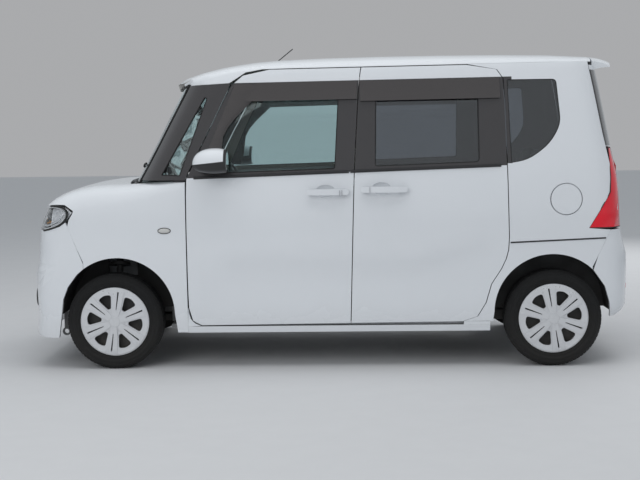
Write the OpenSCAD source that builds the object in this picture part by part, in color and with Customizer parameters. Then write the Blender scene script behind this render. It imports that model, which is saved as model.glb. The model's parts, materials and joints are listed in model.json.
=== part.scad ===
// Tall kei-class passenger car with hinged front doors and sliding rear doors.
// X runs towards the rear, Y to the right, Z up; the origin is on the ground under the middle.

/* [Overall] */
// Length over both bumpers
length = 3395; // [3300:5:3480]
// Width over the body sides, without the mirrors
width = 1475; // [1450:5:1520]
// Height of the roof above the ground
height = 1755; // [1740:5:1820]
// Distance between the two axles
wheelbase = 2460; // [2440:5:2490]
// Front bumper to the front axle
front_overhang = 490; // [480:5:510]

/* [Body] */
// Height of the window line at the front of the front doors
belt = 1070; // [1060:5:1080]
// Height at which the body sides are widest
waist = 830; // [780:10:880]
// Height of the underside of the sills
sill_z = 202; // [196:2:210]
// Height of the lower edge of the doors
door_z = 244; // [240:1:250]
// Height of the upper edge of the doors
door_top = 1668; // [1664:1:1672]
// Thickness of a single body panel with its inner frame
panel_t = 24; // [20:1:28]
// Thickness of a whole door below the windows
door_t = 104; // [90:2:112]
// Thickness of the window frames of the doors
frame_t = 40; // [34:1:46]
// Gap around doors, bonnet and tailgate
gap = 5; // [4:0.5:6]
// Gap between panels that are bolted together
seam = 0.6; // [0.4:0.1:0.8]
// Room between pieces that are clipped or set into each other
fit = 0.3; // [0.2:0.05:0.4]
// Thickness of the side and rear window glass
glass_t = 5; // [4:0.5:6]

/* [Wheels] */
// Outer radius of the tyres
tyre_r = 270; // [262:1:276]
// Width of the tyres
tyre_w = 155; // [145:5:165]
// Radius of the rim's edge
rim_r = 192; // [188:1:196]
// Distance between the middles of the two wheels of an axle
track = 1300; // [1290:2:1306]
// Radius of the wheel arches
arch_r = 320; // [314:1:324]
// Height of the middle of the wheel arches
arch_z = 312; // [306:1:318]
// Number of double spokes on a wheel cover
spokes = 6; // [5:1:8]
// Radius of the wheel spindles
spindle_r = 14; // [12:0.5:16]
// Running clearance of a shaft in its bore
running = 0.06; // [0.04:0.01:0.08]

/* [Hidden] */

// Places that follow from the sizes
nose = -length / 2;
tail = length / 2;
axle_f = nose + front_overhang;
axle_r = axle_f + wheelbase;
half_w = width / 2;
hub_z = tyre_r;
arch_f = axle_f + 20;
arch_b = axle_r - 8;
door_a = axle_f + 419.5;
door_b = axle_f + 1330;
door_c = axle_r - 252.5;
screen_x = axle_f + 84;
tail_gap_x = tail - 205;
hinge_gap = gap + 2;
kingpin_low = [axle_f, -track / 2 + 25, hub_z - 95];
kingpin_top = [axle_f, -track / 2 + 190, 810];
door_hinge = [door_a + 40, -half_w + 9.5];
hinge_heights = [640, 930];
lid_c = [axle_r + 64, 936];
lid_r = 84;
lid_t = 4;
// Half width of the engine bay between the strut towers, of the front liners and of the load floor
tower_y = track / 2 - 258;
liner_in = tower_y + 35.5;
floor_half = track / 2 - tyre_w / 2 - 32.5;

// Cubic curve through the rows [place, value] of a table
function seg(t, x, i = 0) = (i >= len(t) - 2 || x < t[i + 1][0]) ? i : seg(t, x, i + 1);
function rise(t, i) = let (a = max(i - 1, 0), b = min(i + 1, len(t) - 1)) (t[b][1] - t[a][1]) / (t[b][0] - t[a][0]);
function curve(t, x) =
    let (i = seg(t, x), h = t[i + 1][0] - t[i][0], u = min(1, max(0, (x - t[i][0]) / h)))
    t[i][1] * (2 * u * u * u - 3 * u * u + 1) + rise(t, i) * h * (u * u * u - 2 * u * u + u)
    + t[i + 1][1] * (3 * u * u - 2 * u * u * u) + rise(t, i + 1) * h * (u * u * u - u * u);
function ramp(x) = x <= 0 ? 0 : x >= 1 ? 1 : x * x * (3 - 2 * x);

// Half width of the body side at height z
shoulder_in = 14;
function side_w(z) = z < waist ? half_w - 32 * pow((waist - z) / (waist - sill_z), 2)
    : z < belt ? half_w - shoulder_in * pow((z - waist) / (belt - waist), 2)
    : half_w - shoulder_in - 2 * shoulder_in / (belt - waist) * (z - belt) - 0.00001 * pow(z - belt, 2);

// Rounded plan of an end: w half width, a depth of the corner, n its squareness, d distance from the end
function corner_y(w, a, n, d) = d >= a ? w : w * pow(max(0, 1 - pow((a - d) / a, 2.2)), 1 / n);
function corner_d(w, a, n, y) = a * (1 - pow(max(0, 1 - pow(min(1, abs(y) / w), n)), 1 / 2.2));
nose_a = 160;
nose_n = 8;
tail_a = 150;
tail_n = 7;
screen_a = 220;
screen_n = 4;

// Rows: height, distance behind the foremost point of the nose
nose_rows = [[150, 30], [185, 4], [205, 0], [240, 5], [290, 11], [470, 8], [560, 14], [600, 27], [750, 39], [830, 50], [905, 74]];
function nose_x(z) = nose + curve(nose_rows, z);
// Rows: height, distance ahead of the rearmost point of the tail
tail_rows = [[270, 60], [290, 30], [320, 8], [340, 1.5], [360, 0], [420, 0], [560, 0], [620, 3], [690, 22], [765, 36], [930, 44], [1064, 56], [1216, 90], [1580, 160], [1720, 190]];
function tail_x(z) = tail - curve(tail_rows, z);
// Rows: height, distance of the windscreen's middle behind its foot
screen_rows = [[1046, 0], [1200, 84], [1400, 187], [1584, 283]];
function glass_x(z) = screen_x + curve(screen_rows, z);

// Scooped lower flank that runs across both doors and rises towards the rear wheel
function scoop(x, z) =
    let (top = 610 + 105 * ramp((x - door_b - 380) / 420))
    13 * ramp((top - z) / 46) * ramp((z - 330) / 120) * ramp((x - door_a - 130) / 120) * ramp((door_c + 20 - x) / 160);
function flank(x, z) = corner_y(corner_y(side_w(z), nose_a, nose_n, x - nose_x(z)), tail_a, tail_n, tail_x(z) - x) - scoop(x, z);
function cabin(x, z) = corner_y(corner_y(side_w(z), screen_a, screen_n, x - glass_x(z)), tail_a, tail_n, tail_x(z) - x);

// Solid between two grids of points, rows by columns, outer side first
function quad(a, b, c, d) = [[a, b, c], [a, c, d]];
module slab(o, n) {
    r = len(o);
    c = len(o[0]);
    m = r * c;
    polyhedron(
        points = concat([for (row = o) each row], [for (row = n) each row]),
        faces = concat(
            [for (i = [0:r - 2]) for (j = [0:c - 2]) let (k = i * c + j) each quad(k, k + 1, k + c + 1, k + c)],
            [for (i = [0:r - 2]) for (j = [0:c - 2]) let (k = m + i * c + j) each quad(k + c, k + c + 1, k + 1, k)],
            [for (i = [0:r - 2]) let (k = i * c) each quad(k, k + c, k + c + m, k + m)],
            [for (i = [0:r - 2]) let (k = i * c + c - 1) each quad(k + c, k, k + m, k + c + m)],
            [for (j = [0:c - 2]) each quad(j + 1, j, j + m, j + 1 + m)],
            [for (j = [0:c - 2]) let (k = (r - 1) * c + j) each quad(k, k + 1, k + 1 + m, k + m)]));
}
module both() {
    children();
    mirror([0, 1, 0]) children();
}
// Outline [x, z, corner] rounded and drawn in by d, then extruded across from y0 to y1
function at(p, i) = p[(i + len(p)) % len(p)];
function unit(v) = v / norm(v);
function flat2(p) = [p[0], p[1]];
function drawn_in(p, d) = [for (i = [0:len(p) - 1])
    let (e = unit(flat2(p[i]) - flat2(at(p, i - 1))), g = unit(flat2(at(p, i + 1)) - flat2(p[i])),
         q = [-e[1], e[0]], s = [-g[1], g[0]])
    let (v = flat2(p[i]) + d * (q + s) / (1 + q * s)) [v[0], v[1], max(0.5, p[i][2] - d)]];
function rounded(p) = [for (i = [0:len(p) - 1])
    let (b = flat2(p[i]), a = b + unit(flat2(at(p, i - 1)) - b) * p[i][2], c = b + unit(flat2(at(p, i + 1)) - b) * p[i][2])
    for (k = [0:4]) let (u = k / 4) a * (1 - u) * (1 - u) + 2 * b * u * (1 - u) + c * u * u];
module across(p, y0, y1, d = 0) translate([0, y1, 0]) rotate([90, 0, 0]) linear_extrude(y1 - y0) polygon(rounded(drawn_in(p, d)));
module box(lo, hi) translate(lo) cube(hi - lo);
module rod(a, b, r, fn = 24) {
    v = b - a;
    translate(a) rotate([0, acos(v[2] / norm(v)), atan2(v[1], v[0])]) cylinder(r = r, h = norm(v), $fn = fn);
}

// Heights between the lower edge (0), the window line (1) and the upper edge (2) of the doors
function door_low(x) = door_z + 0.008 * (x - door_a);
function belt_at(x) = belt + 0.03 * (x - door_a);
function door_high(x) = door_top + 0.011 * (x - door_a - 400);
function level(v, x) = v <= 1 ? door_low(x) + v * (belt_at(x) - door_low(x)) : belt_at(x) + (v - 1) * (door_high(x) - belt_at(x));

// Edges of the doors: rows level, distance
front_rows = [[0, 72], [0.015, 40], [0.05, 13], [0.12, 2], [0.24, 0], [0.94, 0], [1, 4], [1.06, 19], [1.4, 121], [1.86, 258], [1.9, 280], [1.95, 322], [1.98, 385], [2, 470]];
joint_rows = [[0, 0], [1, 26], [1.87, 57], [2, 68]];
rear_rows = [[0, -250], [0.02, -183], [0.094, -131], [0.22, -101], [0.354, -32], [0.463, 0], [0.7, 0], [1, -6], [1.86, -24], [1.935, -51], [1.98, -100], [2, -224]];
function front_edge(v) = door_a + curve(front_rows, v);
function joint_edge(v) = door_b + curve(joint_rows, v);
function rear_edge(v) = door_c + curve(rear_rows, v);

door_levels = [0, 0.03, 0.034, 0.12, 0.24, 0.34, 0.4, 0.46, 0.54, 0.7, 0.88, 0.985, 1, 1.3, 1.62, 1.86, 1.95, 2];
door_steps = [0, 0.03, 0.034, 0.13, 0.27, 0.42, 0.57, 0.72, 0.86, 0.966, 0.97, 1];
function door_depth(u, v) = (u < 0.032 || u > 0.968 || v < 0.032 || v > 1.985) ? panel_t : v < 0.99 ? door_t : frame_t;
function door_skin(front, rear, inward) = [for (u = door_steps) [for (v = door_levels)
    let (x0 = front ? front_edge(v) : joint_edge(v) + gap / 2, x1 = (front ? joint_edge(v) : rear_edge(v)) - gap / 2,
         x = x0 + u * (x1 - x0), z = level(v, x))
    [x, -(v <= 1 ? flank(x, z) : cabin(x, z)) + inward * door_depth(u, v), z]]];

// Window outlines: x, z, corner
front_window = [[door_a + 98, belt + 26, 14], [door_b - 80, belt + 44, 18], [door_b - 53, door_top - 88, 26], [door_a + 300, door_top - 96, 40]];
rear_window = [[door_b + 140, belt + 56, 18], [door_c - 158, belt + 74, 24], [door_c - 162, door_top - 76, 30], [door_b + 148, door_top - 86, 26]];
quarter_window = [[door_c + 16, belt + 68, 10], [door_c + 110, belt + 82, 60], [door_c + 230, belt + 170, 60], [door_c + 292, belt + 280, 50], [door_c + 268, door_top - 70, 24], [door_c - 4, door_top - 70, 10]];
vent_window = [[screen_x + 196, belt + 20, 10], [door_a - 34, belt + 14, 12], [door_a + 124, belt + 446, 8], [door_a + 106, belt + 452, 6]];

module pane(x0, x1, z0, z1, skin_in, nx, nz) {
    function grid(d) = [for (i = [0:nx]) [for (j = [0:nz]) let (x = x0 + (x1 - x0) * i / nx, z = z0 + (z1 - z0) * j / nz) [x, -cabin(x, z) + d, z]]];
    slab(grid(skin_in), grid(skin_in + glass_t));
}

module front_door() {
    difference() {
        slab(door_skin(true, true, 0), door_skin(true, true, 1));
        across(front_window, -half_w - 20, -half_w + 200);
        for (z = hinge_heights) {
            box([door_a - 20, -half_w + 5, z - 16], [door_a + 62, -half_w + 140, z + 16]);
            translate([door_hinge[0], door_hinge[1], z - 40]) cylinder(r = 4 + running, h = 80, $fn = 24);
        }
    }
}
module rear_door() {
    difference() {
        slab(door_skin(false, false, 0), door_skin(false, false, 1));
        across(rear_window, -half_w - 20, -half_w + 200);
    }
}
module front_glass() intersection() {
    pane(door_a + 60, door_b + 20, belt, door_top - 40, 12, 3, 4);
    across(front_window, -half_w - 20, -half_w + 200, fit);
}
module rear_glass() intersection() {
    pane(door_b + 100, door_c - 100, belt, door_top - 40, 12, 3, 4);
    across(rear_window, -half_w - 20, -half_w + 200, fit);
}
// Clear strip over the upper part of a door window
module visor(x0, x1, slant, low, high) {
    function grid(d) = [for (i = [0:6]) [for (j = [0:3]) let (z = low + (high - low) * j / 3 + 0.011 * (x0 + (x1 - x0) * i / 6 - door_a),
        x = x0 + slant * j / 3 + (x1 - x0 - slant * j / 3) * i / 6) [x, -cabin(x, z) - d - 14 * pow(1 - j / 3, 2), z]]];
    slab(grid(fit + 3), grid(fit));
}
// Bowed pull bar on two posts
module handle(x0, x1, z) {
    y = -flank((x0 + x1) / 2, z);
    for (x = [x0 + 26, x1 - 26]) translate([x, y - fit - 0.8, z]) rotate([90, 0, 0]) cylinder(r = 11, h = 28, $fn = 24);
    intersection() {
        across([[x0, z - 17, 15], [x1, z - 17, 15], [x1, z + 17, 15], [x0, z + 17, 15]], y - 60, y);
        translate([0, 0, z - 40]) linear_extrude(80) polygon(concat([[x1, y - 22], [x0, y - 22]],
            [for (k = [0:8]) [x0 + (x1 - x0) * k / 8, y - 32 - 14 * (1 - pow(k / 4 - 1, 2))]]));
    }
}
module mirror_shell() {
    y = -cabin(door_a + 110, belt + 50);
    // Rows: place behind the door's edge, height above the window line, radius, draw in at the outer end
    rows = [[94, 78, 34, 10], [150, 130, 40, 14], [200, 146, 24, 10], [204, 58, 22, 4]];
    hull() for (r = rows) for (w = [76, 188]) translate([door_a + r[0], y - w + (w > 100 ? r[3] : 0), belt + r[1]]) sphere(r = r[2], $fn = 14);
    hull() {
        translate([door_a + 120, y - fit - 7.3, belt + 42]) cube([110, 10, 26], center = true);
        translate([door_a + 140, y - 70, belt + 54]) cube([90, 10, 24], center = true);
    }
}

// Bonnet and fender tops: rows place along x from the front axle, height
bonnet_rows = [[-432, 884], [-418, 915], [-367, 967], [-282, 1008], [-138, 1043], [98, 1055], [200, 1057]];
function bonnet_z(x) = curve(bonnet_rows, x - axle_f);
// Rows: place from the front axle, half width of the bonnet
shut_rows = [[-432, 540], [-380, 585], [-280, 606], [-100, 612], [98, 614], [200, 640], [300, 684], [420, 712]];
function shut_y(x) = curve(shut_rows, x - axle_f);
// Height of the bonnet at x, y: near the front it follows the rounded plan of the nose
function bonnet_at(x, y) = bonnet_z(x - corner_d(side_w(900), nose_a, nose_n, y) * ramp((axle_f - 100 - x) / 260)) - 14 * pow(abs(y) / 612, 2);
function shut_z(x) = bonnet_at(x, shut_y(x)) + 14 * ramp((x - axle_f - 98) / 250);
shoulder_rows = [[-432, 840], [-300, 870], [-100, 900], [98, 935], [300, 990], [420, 1020]];
function shoulder_z(x) = curve(shoulder_rows, x - axle_f);
bonnet_back = axle_f + 90;

// Edge between bumper and fender, from the lamp down to the arch
function bumper_end(z) = z > 600 ? axle_f - 168 - (z - 600) * 0.385
    : z > arch_z ? min(arch_f - sqrt(max(0, pow(arch_r, 2) - pow(z - arch_z, 2))), axle_f - 168)
    : arch_f - arch_r - (arch_z - z) * 0.16;

module arch_cut(x, y0, y1) {
    translate([x, y1, arch_z]) rotate([90, 0, 0]) cylinder(r = arch_r, h = y1 - y0, $fn = 96);
    translate([0, y1, 0]) rotate([90, 0, 0]) linear_extrude(y1 - y0)
        polygon([[x - arch_r, arch_z], [x - arch_r - 30, 100], [x + arch_r + 30, 100], [x + arch_r, arch_z]]);
}

module fender() {
    // Columns: step up the side, step over the shoulder, front edge from the axle
    columns = [[0, 0, -168], [0.15, 0, -168], [0.3, 0, -168], [0.45, 0, -168], [0.59, 0, -168], [0.7, 0, -199], [0.8, 0, -225], [0.9, 0, -250], [0.95, 0, -241], [1, 0, -219],
        [1, 0.06, -215], [1, 0.27, -264], [1, 0.37, -312], [1, 0.53, -361], [1, 0.66, -374], [1, 1, -377]];
    steps = [0, 0.06, 0.14, 0.24, 0.34, 0.44, 0.54, 0.64, 0.74, 0.84, 0.92, 1];
    function point(x, c, d) = let (zs = shoulder_z(x), z = sill_z + 2 + c[0] * (zs - sill_z - 2), u = c[1], w = flank(x, zs),
        p = [shut_y(x), shut_z(x)] * u * u + 2 * [w, shut_z(x)] * u * (1 - u) + [w, zs] * (1 - u) * (1 - u))
        u == 0 ? [x, -flank(x, z) + d, z] : [x, -p[0] + d * (1 - u), p[1] - d * u];
    function grid(d) = [for (k = steps) [for (c = columns) let (x0 = axle_f + c[2] + seam) point(x0 + k * (door_a - hinge_gap - x0), c, d)]];
    difference() {
        slab(grid(0), grid(panel_t));
        arch_cut(arch_f, -half_w - 30, -half_w + 160);
    }
}
module front_fenders() color("white") both() fender();

// Point on the rounded nose or tail: s from -1 to 1 across, reaching x1 at the sides
function nose_point(s, z, x1, d) =
    let (f = abs(s), w = side_w(z), x0 = nose_x(z), y = min(f / 0.6, 1) * 0.86 * w, xm = x0 + corner_d(w, nose_a, nose_n, 0.86 * w),
         x = f <= 0.6 ? x0 + corner_d(w, nose_a, nose_n, y) : xm + (x1 - xm) * (f - 0.6) / 0.4,
         yy = f <= 0.6 ? y : corner_y(w, nose_a, nose_n, x - x0),
         k = ramp((f - 0.35) / 0.5))
    [x + d * (1 - k * k), sign(s) * (yy - d * k), z];
function tail_point(s, z, x1, d) =
    let (f = abs(s), w = side_w(z), x0 = tail_x(z), y = min(f / 0.6, 1) * 0.86 * w, xm = x0 - corner_d(w, tail_a, tail_n, 0.86 * w),
         x = f <= 0.6 ? x0 - corner_d(w, tail_a, tail_n, y) : xm + (x1 - xm) * (f - 0.6) / 0.4,
         yy = f <= 0.6 ? y : corner_y(w, tail_a, tail_n, x0 - x),
         k = ramp((f - 0.35) / 0.5))
    [x - d * (1 - k * k), sign(s) * (yy - d * k), z];
across_steps = [1, 0.9, 0.8, 0.7, 0.6, 0.54, 0.46, 0.36, 0.24, 0.12, 0];
function mirrored_steps() = concat(across_steps, [for (i = [1:len(across_steps) - 1]) -across_steps[len(across_steps) - 1 - i]]);

// Lower and upper edge of the headlamp and lean of its upper edge: rows step across, value
lamp_low_rows = [[0, 786], [0.3, 786], [0.46, 786], [0.6, 789], [0.7, 795], [0.8, 806], [0.9, 826], [1, 884]];
lamp_high_rows = [[0, 906], [0.44, 907], [0.6, 913], [0.7, 920], [0.8, 926], [0.9, 926.5], [1, 896]];
lamp_lean_rows = [[0.44, 0], [0.6, 24], [0.7, 34], [0.8, 18], [0.9, 9], [1, 0]];
lamp_end = nose + 271;
lamp_front = nose + 77;
// Step across the lamp at the same place as step s across the bumper
function lamp_step(s) = min(0.6, abs(s)) + max(0, abs(s) - 0.6) * (bumper_end(832) - lamp_front) / (lamp_end - lamp_front);
module front_bumper() {
    zs = [178, 195, 206, 240, 300, 400, 470, 540, 570, 600, 660, 720, 784.8];
    function lifted(s, z) = z < 660 ? z : z + (z - 660) / 124.8 * (curve(lamp_low_rows, lamp_step(s)) - 786);
    function grid(d) = [for (s = mirrored_steps()) [for (z = zs) let (h = lifted(s, z)) nose_point(s, h, bumper_end(h) - seam, d)]];
    color("white") difference() {
        slab(grid(0), grid(panel_t));
        // Lower air intake and upper grille opening
        box([nose - 20, -330, 300], [nose + 120, 330, 420]);
        box([nose - 20, -400, 690], [nose + 120, 400, 800]);
    }
}
module grille() {
    function band(y1, z0, z1, d) = [for (k = [3:-1:-3]) [for (z = [z0, z1]) let (y = y1 * k / 3)
        [nose_x(z) + corner_d(side_w(z), nose_a, nose_n, y) + d, y, z]]];
    module strip(y1, z0, z1, d, t) slab(band(y1, z0, z1, d), band(y1, z0, z1, d + t));
    color("dimgray") {
        strip(400 - fit, 690.3, 787, 14, 14);
        strip(455, 785.7, 904, 14, 14);
        for (z = [720, 760]) strip(399, z - 9, z + 9, 4, 16);
        strip(455, 838, 868, 2, 18);
        strip(330 - fit, 300.3, 419.7, 18, 12);
        for (z = [330, 360, 390]) strip(329, z - 6, z + 6, 8, 14);
    }
}
module headlamps() {
    ss = [-0.44, -0.52, -0.6, -0.68, -0.76, -0.84, -0.92, -1];
    function grid(d) = [for (s = ss) [for (v = [0, 0.25, 0.5, 0.75, 1])
        let (a = curve(lamp_low_rows, -s), z = a + v * (curve(lamp_high_rows, -s) - a - (d > 10 ? 40 : 0)))
        nose_point(s, z, lamp_end, d + curve(lamp_lean_rows, -s) * v * v)]];
    color("lightgray") both() slab(grid(2), grid(50));
}
bonnet_pin = [axle_f + 84, 1027];
function bonnet_back(s) = axle_f + 30 + 60 * s * s;
module bonnet() {
    us = [0, 0.03, 0.08, 0.15, 0.24, 0.36, 0.5, 0.66, 0.83, 1];
    ys = [-1, -0.94, -0.82, -0.65, -0.4, 0, 0.4, 0.65, 0.82, 0.94, 1];
    function grid(d) = [for (u = us) [for (s = ys)
        let (x0 = axle_f - 396 + corner_d(side_w(900), nose_a, nose_n, s * 600), x = x0 + u * (bonnet_back(s) - x0), y = s * (shut_y(x) - gap))
        [x + d * 0.3 * (1 - u), y, bonnet_at(x, y) - d * min(1, 0.5 + 3 * u)]]];
    color("white") difference() {
        slab(grid(0), grid(panel_t));
        both() {
            box([bonnet_pin[0] - 14, -606, 990], [bonnet_pin[0] + 14, -586, bonnet_pin[1] + 7]);
            translate([bonnet_pin[0], -606, bonnet_pin[1]]) rotate([-90, 0, 0]) cylinder(r = 4 + running, h = 46, $fn = 24);
        }
    }
}
module cowl() {
    ys = [-1, -0.8, -0.5, 0, 0.5, 0.8, 1];
    // Columns: step from the bonnet's edge to the windscreen's foot, height
    columns = [[0, 1034], [0.12, 1043], [0.25, 1045.6], [1, 1045.6]];
    function grid(d) = [for (u = [0:3]) [for (s = ys) let (x0 = bonnet_back(s) + 9, x1 = screen_x + corner_d(720, screen_a, screen_n, s * 600) + 60)
        [x0 + (x1 - x0) * columns[u][0], s * 588, columns[u][1] - d]]];
    color("black") slab(grid(0), grid(35.8));
}
function screen_half(z) = 602 - 42 * (z - 1046) / 520;
screen_levels = [1046, 1062, 1100, 1160, 1260, 1370, 1480, 1578];
module windscreen() {
    ys = [1, 0.9, 0.75, 0.55, 0.3, 0, -0.3, -0.55, -0.75, -0.9, -1];
    function grid(d) = [for (s = ys) [for (h = screen_levels) let (z = h + (h == 1578 ? 14 * pow(s, 8) : 0), y = s * screen_half(z)) [glass_x(z) + corner_d(side_w(z), screen_a, screen_n, y) + d, y, z]]];
    color("lightblue") slab(grid(0), grid(7));
}
module pillar() {
    zs = [1062, 1100, 1160, 1260, 1370, 1480, 1550, 1584];
    function rear(z) = door_a - hinge_gap + curve(front_rows, max(1, 1 + (z - belt) / (door_top - belt)));
    function front(z) = glass_x(z) + corner_d(side_w(z), screen_a, screen_n, screen_half(z)) + 8;
    function grid(d) = [for (u = [0, 0.12, 0.26, 0.42, 0.6, 0.8, 1]) [for (z = zs) let (x = front(z) + u * (rear(z) - front(z)))
        [x + d * 0.8 * (1 - u), -cabin(x, z) + d, z == 1584 ? eave_z(x) - seam : z]]];
    slab(grid(0), grid(36));
}
module pillars() color("black") both() {
    difference() {
        pillar();
        across(vent_window, -half_w - 30, -half_w + 320);
    }
    // Hinge post behind the fender, with the arms and pins of the door hinges
    box([door_a - 70, -half_w + 60, door_z + 14 + fit], [door_a - 14, -half_w + 125, 1061.4]);
    for (z = hinge_heights) {
        box([door_a - 20, door_hinge[1] + 74, z - 11], [door_hinge[0] + 4, door_hinge[1] + 86, z + 11]);
        box([door_hinge[0] - 4, door_hinge[1], z - 11], [door_hinge[0] + 4, door_hinge[1] + 80, z + 11]);
        translate([door_hinge[0], door_hinge[1], z - 38]) cylinder(r = 4, h = 76, $fn = 24);
    }
}
module front_quarter_glass() color("lightblue") both() intersection() {
    pane(screen_x + 150, door_a + 200, belt, belt + 470, 10, 5, 4);
    across(vent_window, -half_w - 30, -half_w + 320, fit);
}
roof_rows = [[-885, 1600], [-795, 1642], [-600, 1696], [-342, 1733], [5, 1749], [436, 1755], [739, 1755], [1042, 1752], [1405, 1739], [1530, 1728]];
function roof_z(x) = height - 1755 + curve(roof_rows, x);
eave_rows = [[-840, -82], [-540, -74], [-520, -62], [-500, -44], [-461, -20], [-391, -4], [-300, 0]];
function eave_z(x) = door_high(x) + gap + curve(eave_rows, x);
roof_back = tail - 229;
tailgate_pin = [roof_back + 24, roof_z(roof_back + 24) - 12];
// Height at which the roof turns into the side: rows place, height below the doors' upper edge
crown_rows = [[-870, -92], [-800, -72], [-719, -58], [-540, -20], [-391, -3], [-300, 3], [0, 3]];
function crown_z(x) = max(eave_z(x) + 3, door_high(x) + gap + curve(crown_rows, x));
function roof_at(x, s) = let (e = crown_z(x)) e + (roof_z(x) - e) * sqrt(max(0, 1 - pow(abs(s), 4)));
module roof() {
    ss = [-2, -1, -0.985, -0.95, -0.88, -0.75, -0.5, 0, 0.5, 0.75, 0.88, 0.95, 0.985, 1, 2];
    us = [0, 0.03, 0.07, 0.12, 0.16, 0.2, 0.26, 0.36, 0.5, 0.64, 0.78, 0.9, 1];
    function front(f) = screen_x + 232 + corner_d(660, screen_a, screen_n, f * 580);
    function grid(d) = [for (u = us) let (xe = front(1) + u * (roof_back - front(1)), e = crown_z(xe)) [for (s = ss)
        let (f = min(1, abs(s)), x = front(f) + u * (roof_back - front(f)), low = abs(s) > 1 ? eave_z(xe) : e, w = cabin(xe, low) - d)
        [x + d * 0.3 * (1 - u) * (abs(s) > 1 ? 0 : 1), sign(s) * f * w,
            abs(s) > 1 ? low : e + (roof_z(x) - e) * sqrt(max(0, 1 - pow(f, 4))) - d * (1 - pow(f, 6))]]];
    color("white") {
        slab(grid(0), grid(30));
        // Hinge ears and pins of the tailgate
        both() {
            box([roof_back - 20, -308, tailgate_pin[1] - 6], [tailgate_pin[0], -292, tailgate_pin[1] + 6]);
            translate([tailgate_pin[0], -308, tailgate_pin[1]]) rotate([-90, 0, 0]) cylinder(r = 6, h = 16, $fn = 24);
            translate([tailgate_pin[0], -330, tailgate_pin[1]]) rotate([-90, 0, 0]) cylinder(r = 4, h = 60, $fn = 24);
        }
    }
}
module antenna() color("black") {
    translate([axle_f + 885, 0, roof_z(axle_f + 885) + 0.9]) cylinder(r1 = 16, r2 = 9, h = 14, $fn = 24);
    rod([axle_f + 885, 0, roof_z(axle_f + 885) + 8], [axle_f + 990, 0, height + 71], 3);
}

// Rear edge of the body side, seen from the side
function quarter_end(z) = tail_x(z) - 70;
// Front edge of the tail lamp: rows height, place behind the rear axle
tail_rows_x = [[776, 190], [971, 308], [1064, 312], [1214, 306]];
tail_levels = [776, 840, 905, 971, 1018, 1064, 1114, 1164, 1214];
function tail_front(z) = axle_r + lookup(z, tail_rows_x);
module quarter() {
    function grid(d) = [for (u = [0, 0.1, 0.25, 0.4, 0.55, 0.7, 0.82, 0.92, 1]) [for (v = door_levels)
        let (x0 = rear_edge(v) + gap / 2, z0 = level(v, x0), x1 = quarter_end(z0), x = x0 + u * (x1 - x0), z = level(v, x) + (v == 2 ? gap - seam : 0))
        [x, -(v <= 1 ? flank(x, z) : cabin(x, z)) + d, z]]];
    difference() {
        slab(grid(0), grid(panel_t));
        across(quarter_window, -half_w - 30, -half_w + 200);
        arch_cut(arch_b, -half_w - 30, -half_w + 200);
        translate([0, -half_w + 200, 0]) rotate([90, 0, 0]) linear_extrude(240)
            polygon(concat([[tail + 50, 100], [axle_r + 200, 100], [axle_r + 212, 560], [axle_r + 310, 764.4]],
                [for (z = [776, 971, 1064, 1214]) [tail_front(z) - (z == 776 ? 1.3 : 0), z == 776 ? z - 2 : z]], [[tail_front(1214), 1216.5], [tail + 50, 1216.5]]));
        translate([lid_c[0], -flank(lid_c[0], lid_c[1]) + 18, lid_c[1]]) rotate([90, 0, 0]) cylinder(r = lid_r + gap, h = 60, $fn = 64);
        box([lid_pin[0] - 8, lid_pin[1] - 5, lid_c[1] - 14], [lid_pin[0] + 38, lid_pin[1] + 40, lid_c[1] + 14]);
    }
}
// Pin of the fuel lid's arm, in a slot beside its pocket, and the cap of the filler neck
lid_pin = [lid_c[0] - lid_r - 14, -flank(lid_c[0], lid_c[1]) + 12];
module quarter_panels() color("white") {
    both() quarter();
    translate([lid_pin[0], lid_pin[1], lid_c[1] - 20]) cylinder(r = 2, h = 40, $fn = 24);
    translate([lid_c[0] + 10, lid_pin[1] + 7, lid_c[1]]) rotate([90, 0, 0]) cylinder(r = 34, h = 7.5, $fn = 40);
}
module quarter_glass() color("dimgray") both() intersection() {
    pane(door_c - 40, door_c + 320, belt + 40, door_top - 40, 8, 4, 4);
    across(quarter_window, -half_w - 30, -half_w + 200, fit);
}
module tail_lamps() {
    function grid(d) = [for (s = [-1, -0.9, -0.8, -0.7, -0.6, -0.52]) [for (z = tail_levels) tail_point(s, z, tail_front(z) + seam, d)]];
    color("red") both() slab(grid(2), grid(50));
}
module rear_bumper() {
    zs = [276, 300, 330, 360, 450, 540, 620, 660, 700, 764];
    function side(z) = z > 560 ? axle_r + 212 + (z - 560) * 0.48 : z > arch_z ? max(axle_r + 212, arch_b + sqrt(pow(arch_r, 2) - pow(z - arch_z, 2))) : arch_b + arch_r + (arch_z - z) * 0.1;
    function grid(d) = [for (s = [for (k = mirrored_steps()) -k]) [for (z = zs) tail_point(s, z, side(z) + seam, d)]];
    color("white") slab(grid(0), grid(panel_t));
}
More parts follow.
